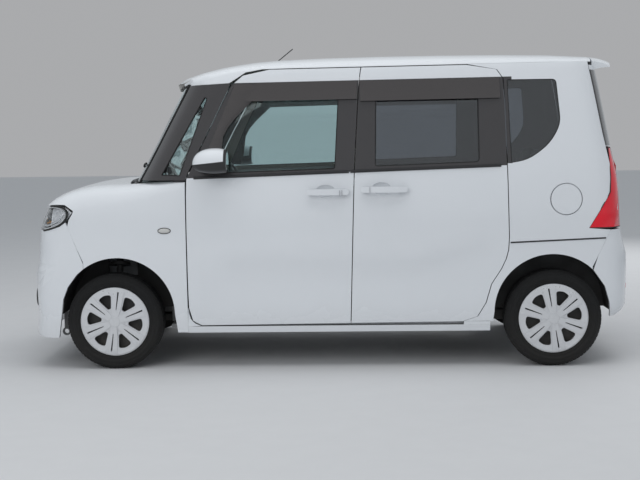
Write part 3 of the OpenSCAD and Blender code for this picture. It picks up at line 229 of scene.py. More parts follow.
def finish(name, colour, second=None, rough=(0.3, 0.45), scale=20.0, grain=600.0, bump=0.05, dust=0.0, reach=0.5, **shader_values):
    """Material whose colour, roughness and grain come from the surface group; other values sit on the shader itself."""
    mat = bpy.data.materials.new(name)
    mat.use_nodes = True
    tree = mat.node_tree
    shader = tree.nodes["Principled BSDF"]
    group = linked(tree, "ShaderNodeGroup", {}, node_tree=SURFACE)
    group.inputs["First"].default_value = (*colour, 1)
    group.inputs["Second"].default_value = (*(second or [0.92 * c for c in colour]), 1)
    for key, value in (("Scale", scale), ("Grain", grain), ("Smooth", rough[0]), ("Rough", rough[1]), ("Dust", dust),
            ("Dust reach", reach)):
        group.inputs[key].default_value = value
    tree.links.new(group.outputs["Colour"], shader.inputs["Base Color"])
    tree.links.new(group.outputs["Roughness"], shader.inputs["Roughness"])
    relief = linked(tree, "ShaderNodeBump", {"Height": group.outputs["Height"], "Strength": bump, "Distance": 0.002})
    tree.links.new(relief.outputs["Normal"], shader.inputs["Normal"])
    for key, value in shader_values.items():
        shader.inputs[key.replace("_", " ")].default_value = value
    mat.diffuse_color = (*colour, 1)
    return mat


def cloth(name, yarn, fleck, threads=260.0, bump=0.35):
    mat = bpy.data.materials.new(name)
    mat.use_nodes = True
    tree = mat.node_tree
    shader = tree.nodes["Principled BSDF"]
    group = linked(tree, "ShaderNodeGroup", {}, node_tree=WEAVE)
    group.inputs["Yarn"].default_value = (*yarn, 1)
    group.inputs["Fleck"].default_value = (*fleck, 1)
    group.inputs["Threads"].default_value = threads
    tree.links.new(group.outputs["Colour"], shader.inputs["Base Color"])
    relief = linked(tree, "ShaderNodeBump", {"Height": group.outputs["Height"], "Strength": bump, "Distance": 0.001})
    tree.links.new(relief.outputs["Normal"], shader.inputs["Normal"])
    shader.inputs["Roughness"].default_value = 0.9
    shader.inputs["Sheen Weight"].default_value = 0.25
    mat.diffuse_color = (*yarn, 1)
    return mat


def glazing(name, tint, rough=(0.0, 0.02), **values):
    return finish(name, tint, second=[0.97 * c for c in tint], rough=rough, scale=3, grain=40, bump=0.0, Transmission_Weight=1.0,
            IOR=1.45, **values)


PAINT = finish("white_paint", (0.765, 0.79, 0.82), (0.75, 0.776, 0.808), (0.22, 0.27), 3, 900, 0.012, dust=0.16, reach=0.42,
        Coat_Weight=1.0, Coat_Roughness=0.03)
TRIM = finish("black_trim", (0.022, 0.022, 0.024), (0.03, 0.03, 0.031), (0.35, 0.5), 30, 1400, 0.08)
BAND = finish("black_band", (0.040, 0.037, 0.039), (0.046, 0.043, 0.044), (0.16, 0.22), 8, 900, 0.01, Coat_Weight=0.6)
RUBBER = finish("seal_rubber", (0.018, 0.018, 0.018), (0.026, 0.026, 0.026), (0.6, 0.75), 40, 1500, 0.1)
TYRE = finish("tyre_rubber", (0.009, 0.009, 0.0095), (0.014, 0.014, 0.014), (0.62, 0.8), 30, 1300, 0.12, dust=0.05, reach=0.40,
        Specular_IOR_Level=0.3)
SILVER = finish("cover_silver", (0.72, 0.73, 0.75), (0.68, 0.69, 0.71), (0.26, 0.34), 60, 2600, 0.03, dust=0.10, reach=0.5,
        Metallic=0.35, Coat_Weight=0.5)
RIM_DARK = finish("rim_steel", (0.03, 0.03, 0.032), (0.045, 0.045, 0.046), (0.5, 0.65), 40, 900, 0.06, dust=0.3)
CHASSIS = finish("chassis_black", (0.014, 0.014, 0.015), (0.024, 0.023, 0.022), (0.5, 0.75), 14, 500, 0.12, dust=0.25, reach=0.5)
BODY_METAL = finish("primed_metal", (0.30, 0.31, 0.32), (0.25, 0.26, 0.27), (0.5, 0.7), 10, 400, 0.06, dust=0.4, reach=0.5)
ENGINE_METAL = finish("engine_castings", (0.30, 0.30, 0.31), (0.20, 0.20, 0.21), (0.42, 0.6), 25, 700, 0.2, Metallic=0.6)
STEEL = finish("exhaust_steel", (0.42, 0.40, 0.38), (0.30, 0.25, 0.21), (0.3, 0.5), 12, 500, 0.1, dust=0.4, reach=0.4, Metallic=0.9)
CHROME = finish("bright_chrome", (0.78, 0.79, 0.80), (0.72, 0.73, 0.74), (0.06, 0.1), 20, 800, 0.01, Metallic=1.0)
MIRROR = finish("mirror_face", (0.82, 0.84, 0.85), (0.80, 0.82, 0.83), (0.01, 0.03), 4, 100, 0.0, Metallic=1.0)
PLASTIC = finish("cabin_plastic", (0.085, 0.082, 0.080), (0.10, 0.097, 0.093), (0.5, 0.62), 30, 1100, 0.14)
PALE_TRIM = finish("cabin_beige", (0.36, 0.33, 0.29), (0.33, 0.30, 0.26), (0.55, 0.68), 30, 1100, 0.12)
SCREEN_FACE = finish("display_face", (0.008, 0.010, 0.014), (0.012, 0.014, 0.018), (0.05, 0.1), 8, 300, 0.0)
CLEAR_GLASS = glazing("clear_glass", (0.70, 0.83, 0.83))
DARK_GLASS = glazing("privacy_glass", (0.32, 0.345, 0.375), Coat_Weight=1.0, Coat_IOR=1.7)
VISOR = finish("smoked_visor", (0.055, 0.047, 0.046), (0.062, 0.053, 0.052), (0.04, 0.08), 6, 300, 0.0, Transmission_Weight=0.25,
        Coat_Weight=1.0)
LAMP_GREY = finish("lamp_housing", (0.58, 0.59, 0.61), (0.44, 0.45, 0.47), (0.18, 0.3), 40, 900, 0.03, Metallic=0.3)
RED_TRAY = finish("lamp_red_back", (0.60, 0.03, 0.035), (0.50, 0.02, 0.025), (0.25, 0.4), 25, 900, 0.03)
# Grey of the split lines in the pull handles, also used as painted shade on the handles' sides
SEAM_AND_SHADE = finish("seam_grey", (0.30, 0.31, 0.33), (0.26, 0.27, 0.29), (0.4, 0.5), 30, 900, 0.02)
LAMP_WHITE = finish("lamp_bright_panel", (0.88, 0.89, 0.91), (0.70, 0.71, 0.74), (0.12, 0.25), 30, 900, 0.02)
REPEATER = finish("frosted_lens", (0.62, 0.62, 0.60), (0.56, 0.56, 0.54), (0.2, 0.3), 30, 900, 0.03)
PROJECTOR = finish("projector_lens", (0.10, 0.11, 0.13), (0.16, 0.17, 0.19), (0.02, 0.05), 30, 500, 0.0, Coat_Weight=1.0)
LENS = glazing("lamp_lens", (0.97, 0.98, 0.99))
RED_LENS = finish("red_lens", (0.94, 0.012, 0.034), (0.80, 0.008, 0.024), (0.05, 0.09), 14, 500, 0.0, Transmission_Weight=0.06,
        Coat_Weight=0.4)
AMBER = glazing("amber_lens", (0.95, 0.40, 0.04), rough=(0.08, 0.14))
SEAT_CLOTH = cloth("seat_cloth", (0.34, 0.31, 0.27), (0.24, 0.215, 0.185))
SEAT_SIDE = cloth("seat_side_cloth", (0.20, 0.185, 0.165), (0.14, 0.13, 0.115), 340)
CARPET = cloth("floor_carpet", (0.10, 0.097, 0.093), (0.06, 0.058, 0.056), 420, 0.7)
HEADLINER = cloth("headliner_felt", (0.55, 0.53, 0.50), (0.50, 0.48, 0.45), 520, 0.2)


# Handling of meshes
def only(ob):
    if bpy.context.object and bpy.context.object.mode != "OBJECT":
        bpy.ops.object.mode_set(mode="OBJECT")
    bpy.ops.object.select_all(action="DESELECT")
    ob.select_set(True)
    bpy.context.view_layer.objects.active = ob
    return ob


def edit(ob, select=True):
    only(ob)
    bpy.ops.object.mode_set(mode="EDIT")
    bpy.ops.mesh.select_mode(type="VERT")
    bpy.ops.mesh.select_all(action="SELECT" if select else "DESELECT")


def leave():
    bpy.ops.object.mode_set(mode="OBJECT")


def settle(ob, body, mat=None):
    """The piece rides on its body and takes its finish."""
    if mat:
        ob.data.materials.clear()
        ob.data.materials.append(mat)
    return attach(ob, body)


def cut(ob, place, normal):
    edit(ob)
    bpy.ops.mesh.bisect(plane_co=place, plane_no=normal)
    leave()


def paint_faces(ob, rule):
    """Gives each face the material index that the rule returns for its centre and normal."""
    for face in ob.data.polygons:
        face.material_index = rule(face.center, face.normal)


def dressed(name, *mats, smooth=35, merge=2e-5):
    """Merged copy of a CAD node that stands for it, smooth where its faces meet at less than the angle."""
    node = nodes[name]
    ob = bpy.data.objects.new(name + "_finish", node.data.copy())
    bpy.context.collection.objects.link(ob)
    ob.data.materials.clear()
    for mat in mats:
        ob.data.materials.append(mat)
    edit(ob)
    bpy.ops.mesh.remove_doubles(threshold=merge)
    leave()
    paint_faces(ob, lambda c, n: 0)
    if ob.data.has_custom_normals:
        bpy.ops.mesh.customdata_custom_splitnormals_clear()
    bpy.ops.object.shade_smooth_by_angle(angle=math.radians(smooth))
    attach(ob, node["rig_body"])
    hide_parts(name)
    return ob


def fair_normals(panels, reach=0.055, step=0.016, limit=40):
    """Shading normals averaged over the facets within reach, across all panels, so that reflections run through the gaps."""
    points, normals, weights = [], [], []
    for ob in panels:
        mesh = ob.data
        mesh.calc_loop_triangles()
        co = np.array([v.co for v in mesh.vertices])
        for tri in mesh.loop_triangles:
            a, b, c = co[list(tri.vertices)]
            n = max(1, min(24, math.ceil(math.sqrt(2 * tri.area) / step)))
            for i in range(n):
                for j in range(n - i):
                    u, v = (i + 1 / 3) / n, (j + 1 / 3) / n
                    points.append(a + (b - a) * u + (c - a) * v)
                    normals.append(tri.normal[:])
                    weights.append(tri.area / (n * (n + 1) / 2))
    tree = KDTree(len(points))
    for k, p in enumerate(points):
        tree.insert(p, k)
    tree.balance()
    normals, weights = np.array(normals), np.array(weights)
    least = math.cos(math.radians(limit))
    for ob in panels:
        mesh = ob.data
        near = {}
        result = []
        for face in mesh.polygons:
            own = np.array(face.normal)
            for loop in face.loop_indices:
                v = mesh.loops[loop].vertex_index
                if v not in near:
                    found = tree.find_range(mesh.vertices[v].co, reach)
                    index = np.array([f[1] for f in found], int)
                    fall = np.maximum(0.02, 1 - np.array([f[2] for f in found]) / reach)
                    near[v] = (normals[index], weights[index] * fall) if len(index) else None
                mean = own
                if near[v] is not None:
                    group, weight = near[v]
                    alike = group @ own > least
                    mean = (group[alike] * weight[alike, None]).sum(0)
                    size = np.linalg.norm(mean)
                    mean = mean / size if size > 1e-9 else own
                result.append(mean)
        mesh.normals_split_custom_set(result)


# Shaping of new pieces
def deselect():
    if bpy.context.object and bpy.context.object.mode != "OBJECT":
        bpy.ops.object.mode_set(mode="OBJECT")
    bpy.ops.object.select_all(action="DESELECT")


def made(name, place=(0, 0, 0), turn=(0, 0, 0)):
    """Names what the last operator added and puts its place into its mesh."""
    ob = bpy.context.object
    ob.name = ob.data.name = name
    ob.location, ob.rotation_euler = ob.location + Vector(place), turn
    only(ob)
    bpy.ops.object.transform_apply(location=True, rotation=True, scale=True)
    return ob


def applied(ob, kind, **settings):
    only(ob)
    modifier = ob.modifiers.new(kind.lower(), kind)
    for key, value in settings.items():
        setattr(modifier, key, value)
    bpy.ops.object.modifier_apply(modifier=modifier.name)
    return ob


def done(ob, body, mat, smooth=35):
    only(ob)
    bpy.ops.object.shade_smooth_by_angle(angle=math.radians(smooth))
    return settle(ob, body, mat)


def pick(ob, rule):
    """Enters edit mode with the faces selected that the rule picks by centre and normal."""
    edit(ob, select=False)
    bpy.ops.mesh.select_mode(type="FACE")
    leave()
    for face in ob.data.polygons:
        face.select = bool(rule(face.center, face.normal))
    bpy.ops.object.mode_set(mode="EDIT")


def block(name, low, high, body, mat, bevel=0.004, turn=(0, 0, 0), top=(1, 1), segments=3):
    """Moulded block between two corners with rounded edges; top gives the share of length and width that its top keeps."""
    low, high = Vector(low), Vector(high)
    deselect()
    bpy.ops.mesh.primitive_cube_add(size=1, scale=high - low)
    ob = made(name)
    pick(ob, lambda c, n: n.z > 0.9)
    bpy.ops.transform.resize(value=(*top, 1), center_override=(0, 0, 0))
    leave()
    applied(ob, "BEVEL", width=bevel, segments=segments, limit_method="ANGLE")
    ob.location, ob.rotation_euler = (low + high) / 2, turn
    bpy.ops.object.transform_apply(location=True, rotation=True, scale=True)
    return done(ob, body, mat)


def turned(name, centre, axis, rows, body, mat, steps=40, smooth=35):
    """Turned piece: rows of radius and distance along the axis, ring by ring; a radius of nothing closes the end."""
    deselect()
    bpy.ops.mesh.primitive_circle_add(vertices=steps, radius=rows[0][0], location=(0, 0, rows[0][1]))
    ob = made(name)
    edit(ob)
    for (r0, z0), (r1, z1) in zip(rows, rows[1:]):
        bpy.ops.mesh.extrude_region_move(TRANSFORM_OT_translate={"value": (0, 0, z1 - z0)})
        if r1 > 0:
            bpy.ops.transform.resize(value=(r1 / r0, r1 / r0, 1), center_override=(0, 0, z1))
        else:
            bpy.ops.mesh.merge(type="CENTER")
    bpy.ops.mesh.select_all(action="SELECT")
    bpy.ops.mesh.remove_doubles(threshold=1e-5)
    bpy.ops.mesh.normals_make_consistent(inside=False)
    leave()
    ob.matrix_world = Matrix.Translation(centre) @ Vector(axis).to_track_quat("Z", "X").to_matrix().to_4x4()
    bpy.ops.object.transform_apply(location=True, rotation=True, scale=True)
    return done(ob, body, mat, smooth)


def bar(name, points, radius, body, mat, closed=False):
    """Round bar along points."""
    data = bpy.data.curves.new(name, "CURVE")
    data.dimensions, data.bevel_depth, data.bevel_resolution, data.use_fill_caps = "3D", radius, 2, True
    spline = data.splines.new("POLY")
    spline.points.add(len(points) - 1)
    for point, place in zip(spline.points, points):
        point.co = (*place, 1)
    spline.use_cyclic_u = closed
    ob = bpy.data.objects.new(name, data)
    bpy.context.collection.objects.link(ob)
    only(ob)
    bpy.ops.object.convert(target="MESH")
    return done(bpy.context.object, body, mat, 50)


def faces_of(name, source, rule):
    """New mesh of the faces of another piece that the rule picks."""
    ob = bpy.data.objects.new(name, source.data.copy())
    bpy.context.collection.objects.link(ob)
    only(ob)
    if ob.data.has_custom_normals:
        bpy.ops.mesh.customdata_custom_splitnormals_clear()
    ob.data.materials.clear()
    pick(ob, lambda c, n: not rule(c, n))
    bpy.ops.mesh.delete(type="FACE")
    leave()
    paint_faces(ob, lambda c, n: 0)
    return ob


def shell(name, source, rule, body, mat, push=0.0, wall=0.003, smooth=40):
    """Thin wall over the faces of another piece that the rule picks, pushed out from them."""
    ob = faces_of(name, source, rule)
    if push:
        applied(ob, "DISPLACE", mid_level=0, strength=push)
    applied(ob, "SOLIDIFY", thickness=wall, offset=-1)
    return done(ob, body, mat, smooth)


def edge_strip(name, source, rule, radius, body, mat, push=0.0):
    """Round strip along the edge of the faces that the rule picks."""
    ob = faces_of(name, source, rule)
    if push:
        applied(ob, "DISPLACE", mid_level=0, strength=push)
    edit(ob)
    bpy.ops.mesh.select_mode(type="EDGE")
    bpy.ops.mesh.region_to_loop()
    bpy.ops.mesh.select_all(action="INVERT")
    bpy.ops.mesh.delete(type="EDGE")
    leave()
    only(ob)
    bpy.ops.object.convert(target="CURVE")
    ob = bpy.context.object
    ob.data.bevel_depth, ob.data.bevel_resolution = radius, 1
    bpy.ops.object.convert(target="MESH")
    return done(bpy.context.object, body, mat, 60)


def tree_of(*objects):
    verts, faces = [], []
    for ob in objects:
        start = len(verts)
        verts += [v.co.copy() for v in ob.data.vertices]
        faces += [[start + v for v in face.vertices] for face in ob.data.polygons]
    return BVHTree.FromPolygons(verts, faces)


def hit(tree, start, aim):
    """Place and normal where a line from start along aim meets the skin."""
    place, normal, _, _ = tree.ray_cast(Vector(start), Vector(aim))
    return place, normal


SIDES = (("left", -1), ("right", 1))
add_camera()
add_stage()


# Painted panels, with a bowl behind each pull handle
HANDLES = ((-0.012, 0.992), (0.298, 1.003))     # place along the car, height
WINDOW_FRAME_Z = (1.226, 1.648)     # dark part of the tailgate, around its window
QUARTER_BAND_X = DOOR_C + 0.022     # where the black window band ends behind the doors


def carve_bowl(ob, x, y, z):
    deselect()
    bpy.ops.mesh.primitive_uv_sphere_add(segments=40, ring_count=20, radius=1, scale=(0.056, 0.020, 0.037), location=(x, y, z))
    cutter = made("bowl")
    applied(ob, "BOOLEAN", operation="DIFFERENCE", object=cutter, solver="EXACT")
    bpy.data.objects.remove(cutter)


def close_right_flank(ob):
    """The right flank has no fuel lid, so the round recess that mirrors the left one is filled flush with its rim."""
    low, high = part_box("fuel_lid")
    radius = (high.z - low.z) / 2
    x, z = high.x - radius, (low.z + high.z) / 2
    pick(ob, lambda c, n: c.y > 0.6 and n.y > -0.5 and math.hypot(c.x - x, c.z - z) < radius + 0.0041)
    bpy.ops.mesh.delete(type="FACE")
    bpy.ops.mesh.select_mode(type="VERT")
    leave()
    for v in ob.data.vertices:
        v.select = v.co.y > -low.y - 0.0135 and abs(math.hypot(v.co.x - x, v.co.z - z) - radius - 0.004) < 0.0012
    bpy.ops.object.mode_set(mode="EDIT")
    bpy.ops.mesh.fill(use_beauty=True)
    leave()
    if sum(face.normal.y * face.area for face in ob.data.polygons if face.select) < 0:
        bpy.ops.object.mode_set(mode="EDIT")
        bpy.ops.mesh.flip_normals()
        leave()


def door_tone(c, n):
    """Trim on the inner side, black between the belt line and the top of the band, else paint."""
    if n.y * c.y < -0.2 * abs(c.y) and abs(c.y) < HALF_W - 0.035:
        return 2
    return 1 if belt_z(c.x) < c.z < band_z(c.x) else 0


def quarter_tone(c, n):
    if n.y * c.y < -0.5 * abs(c.y) and c.z > 0.66:
        return 2
    return 1 if c.x < QUARTER_BAND_X and belt_z(c.x) + 0.010 < c.z < band_z(c.x) else 0


def dress_body():
    panels = {name: dressed(name, PAINT) for name in ("front_fenders", "front_bumper", "bonnet", "rear_bumper", "fuel_lid")}
    panels["tailgate"] = tailgate = dressed("tailgate", PAINT, BAND)
    for z in WINDOW_FRAME_Z:
        cut(tailgate, (0, 0, z), (0, 0, 1))
    paint_faces(tailgate, lambda c, n: 1 if WINDOW_FRAME_Z[0] < c.z < WINDOW_FRAME_Z[1] else 0)
    panels["quarter_panels"] = dressed("quarter_panels", PAINT, BAND, PALE_TRIM)
    close_right_flank(panels["quarter_panels"])
    panels["roof"] = dressed("roof", PAINT, HEADLINER)
    doors = {name: dressed(name, PAINT, BAND, PALE_TRIM) for name in ("front_door_left", "front_door_right", "rear_doors")}
    flank = tree_of(*doors.values())
    for name, door in doors.items():
        x, z = HANDLES[name == "rear_doors"]
        for side in (-1, 1):
            if name != ("front_door_right" if side < 0 else "front_door_left"):
                carve_bowl(door, x, hit(flank, (x, 2 * side, z), (0, -side, 0))[0].y, z)
        cut(door, (DOOR_A, 0, BELT_Z), (-BELT_RISE, 0, 1))
        cut(door, (DOOR_A, 0, BAND_Z), (-BAND_RISE, 0, 1))
        paint_faces(door, door_tone)
    for place, normal in (
            ((QUARTER_BAND_X, 0, 0), (1, 0, 0)),
            ((DOOR_A, 0, BELT_Z + 0.010), (-BELT_RISE, 0, 1)),
            ((DOOR_A, 0, BAND_Z), (-BAND_RISE, 0, 1))):
        cut(panels["quarter_panels"], place, normal)
    paint_faces(panels["quarter_panels"], quarter_tone)
    paint_faces(panels["roof"], lambda c, n: 1 if n.z < -0.3 else 0)
    fair_normals([*panels.values(), *doors.values()])
    return {**panels, **doors}


PANELS = dress_body()
SKIN = tree_of(*PANELS.values())


def on_flank(x, z, side, out=0.0):
    place, _ = hit(SKIN, (x, 2 * side, z), (0, -side, 0))
    return place and Vector((x, place.y + out * side, z))


def inside_flank(x, z, side):
    place, _ = hit(SKIN, (x, 0.45 * side, z), (0, side, 0))
    return place.y


# Glass in rubber
def side_face(c, n):
    return n.y * c.y > 0.6 * abs(c.y)


GLASS = {}
for name, mat in (
        ("windscreen", CLEAR_GLASS), ("front_quarter_glass", CLEAR_GLASS),
        ("front_door_glass_left", CLEAR_GLASS), ("front_door_glass_right", CLEAR_GLASS),
        ("rear_door_glass", DARK_GLASS), ("quarter_glass", DARK_GLASS), ("tailgate_glass", DARK_GLASS)):
    GLASS[name] = dressed(name, mat)
for name, rule, radius in (
        ("windscreen", lambda c, n: n.x < -0.3 and n.z > 0.1, 0.008), ("front_quarter_glass", side_face, 0.006),
        ("front_door_glass_left", side_face, 0.005), ("front_door_glass_right", side_face, 0.005),
        ("rear_door_glass", side_face, 0.006), ("quarter_glass", side_face, 0.005),
        ("tailgate_glass", lambda c, n: n.x > 0.6, 0.007)):
    edge_strip(name + "_seal", GLASS[name], rule, radius, nodes[name]["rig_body"], RUBBER, -0.001)
for name in ("rear_door_visors", "front_door_visor_left", "front_door_visor_right"):
    dressed(name, VISOR)

# Slanted part of the front visors, down the window's front edge to the mirror: height, front edge, rear edge
VISOR_LEG = (
    (1.110, -0.714, -0.612), (1.180, -0.685, -0.592), (1.250, -0.655, -0.584), (1.300, -0.634, -0.578), (1.350, -0.613, -0.552),
    (1.400, -0.591, -0.512), (1.450, -0.570, -0.462), (1.490, -0.553, -0.420), (1.540, -0.532, -0.405), (1.590, -0.511, -0.385))


def visor_legs():
    for side_name, side in SIDES:
        deselect()
        bpy.ops.mesh.primitive_grid_add(x_subdivisions=4, y_subdivisions=len(VISOR_LEG) - 1, size=1)
        leg = made("visor_leg_" + side_name)
        for v in leg.data.vertices:
            z, front, rear = VISOR_LEG[round((v.co.y + 0.5) * (len(VISOR_LEG) - 1))]
            x = front + (rear - front) * (v.co.x + 0.5)
            ahead, behind = on_flank(front + 0.002, z, side), on_flank(0.090, z, side)
            y = ahead.y + (behind.y - ahead.y) * (x - ahead.x) / (behind.x - ahead.x)
            v.co = (x, y + side * (0.004 + 0.006 * math.sin(math.pi * (v.co.x + 0.5))), z)
        edit(leg)
        bpy.ops.mesh.normals_make_consistent(inside=False)
        leave()
        applied(leg, "SOLIDIFY", thickness=0.003, offset=0)
        applied(leg, "BEVEL", width=0.001, segments=2, limit_method="ANGLE")
        done(leg, "front_door_" + side_name, VISOR, 40)


visor_legs()


def belt_mouldings():
    for side_name, side in SIDES:
        for end, body, a, b in (("front", "front_door_" + side_name, DOOR_A + 0.006, DOOR_B - 0.006),
                ("rear", "body", DOOR_B + 0.002, DOOR_C - 0.006)):
            places = [on_flank(a + (b - a) * i / 24, belt_z(a + (b - a) * i / 24) + 0.001, side, 0.001) for i in range(25)]
            bar(f"belt_moulding_{end}_{side_name}", [place for place in places if place], 0.0085, body, TRIM)


belt_mouldings()

# Pieces that keep the CAD shape
for name in ("front_door_handle_left", "front_door_handle_right", "rear_door_handles"):
    handle = dressed(name, PAINT, SEAM_AND_SHADE)
    # The sides of each handle take the grey as painted shade: the shadow gap that outlines the handle against the door
    paint_faces(handle, lambda c, n: 1 if abs(n.y) < 0.80 else 0)
for name, mat in (
        ("pillars", BAND), ("cowl", TRIM), ("antenna", TRIM), ("wheel_liners", CHASSIS), ("front_frame", BODY_METAL),
        ("engine", ENGINE_METAL), ("front_subframe", CHASSIS), ("rear_axle", CHASSIS), ("rear_dampers", CHASSIS),
        ("fuel_tank", CHASSIS), ("exhaust", STEEL), ("knuckle_left", CHASSIS), ("knuckle_right", CHASSIS),
        ("dashboard", PLASTIC), ("steering_wheel", PLASTIC), ("grille", TRIM)):
    dressed(name, mat)
sills = dressed("floor_pan", BODY_METAL, PAINT, CARPET)
paint_faces(sills, lambda c, n: 1 if abs(c.y) > HALF_W - 0.064 and n.z < 0.5 else 2 if n.z > 0.5 else 0)


# Tyres: half profile from the bead to the shoulder, then the tread's ribs and grooves
TYRE_WALL = (
    (0.1945, 0.0662), (0.1975, 0.0700), (0.2050, 0.0724), (0.2064, 0.0744), (0.2094, 0.0746), (0.2108, 0.0735), (0.2230, 0.0762),
    (0.2244, 0.0773), (0.2300, 0.0773), (0.2314, 0.0762), (0.2440, 0.0744), (0.2452, 0.0752), (0.2478, 0.0746), (0.2490, 0.0730),
    (0.2580, 0.0680), (0.2630, 0.0606))
TYRE_RIBS = (
    (0.2645, 0.0570), (0.2652, 0.0345), (0.2600, 0.0335), (0.2600, 0.0295), (0.2655, 0.0285), (0.2655, 0.0030), (0.2600, 0.0022))


def tyres():
    half = TYRE_WALL + TYRE_RIBS
    rows = [(r, -y) for r, y in half] + [(r, y) for r, y in reversed(half)] + [half[0][:1] + (-half[0][1],)]
    for end, x in (("front", AXLE_F), ("rear", AXLE_R)):
        for side_name, side in SIDES:
            hub = Vector((x, side * WHEEL_Y, HUB_Z))
            body = f"wheel_{end}_{side_name}"
            ob = turned(f"tyre_{end}_{side_name}_tread", hub, (0, 1, 0), rows, body, TYRE, 72, 40)

            def block_face(c, n):
                away = Vector((c.x - hub.x, 0, c.z - hub.z))
                return away.length > 0.262 and n.dot(away.normalized()) > 0.9 and 0.012 < abs(c.y - hub.y) < 0.05
            pick(ob, block_face)
            bpy.ops.mesh.inset(thickness=0.0022, depth=0.0042, use_individual=True)
            leave()
            only(ob)
            bpy.ops.object.shade_smooth_by_angle(angle=math.radians(40))
            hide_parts(f"tyre_{end}_{side_name}")
            wheel = dressed(body, SILVER, RIM_DARK)
            paint_faces(wheel, lambda c, n: 0 if abs(c.y) > WHEEL_Y + 0.058 else 1)
            out = side * (WHEEL_Y + 0.0795)
            turned(f"hub_cap_{end}_{side_name}", (x, out, HUB_Z), (0, side, 0),
                    ((0.0300, -0.006), (0.0300, 0.0008), (0.0285, 0.0022), (0.0255, 0.0022), (0.0248, 0.0010), (0.0120, 0.0028),
                    (0.0, 0.0032)), body, SILVER)


tyres()


# Lamps: clear shell over a tray that holds reflectors
LAMP_SPLIT = NOSE + 0.140     # a headlamp is bright behind this place
LAMP_MIDDLE = Vector((-1.535, 0, 0.862))
LAMP_NEAR = (-0.006, 0, 0.006)      # steps that bridge the gap around the lamp
LAMP_LINE = (   # side edge of a headlamp: place along the car, height
    (-1.612, 0.917), (-1.590, 0.921), (-1.570, 0.924), (-1.548, 0.926), (-1.527, 0.926), (-1.508, 0.924), (-1.490, 0.920),
    (-1.475, 0.914), (-1.463, 0.905), (-1.455, 0.893), (-1.453, 0.880), (-1.456, 0.866), (-1.463, 0.852), (-1.473, 0.839),
    (-1.487, 0.827), (-1.503, 0.817), (-1.522, 0.808), (-1.545, 0.799), (-1.570, 0.793), (-1.600, 0.787))


def front_lens(c, n):
    return (n.x < -0.3 or n.y * c.y > 0.5 * abs(c.y)) and abs(n.z) < 0.72


def rear_lens(c, n):
    return (n.x > 0.3 or n.y * c.y > 0.5 * abs(c.y)) and abs(n.z) < 0.72


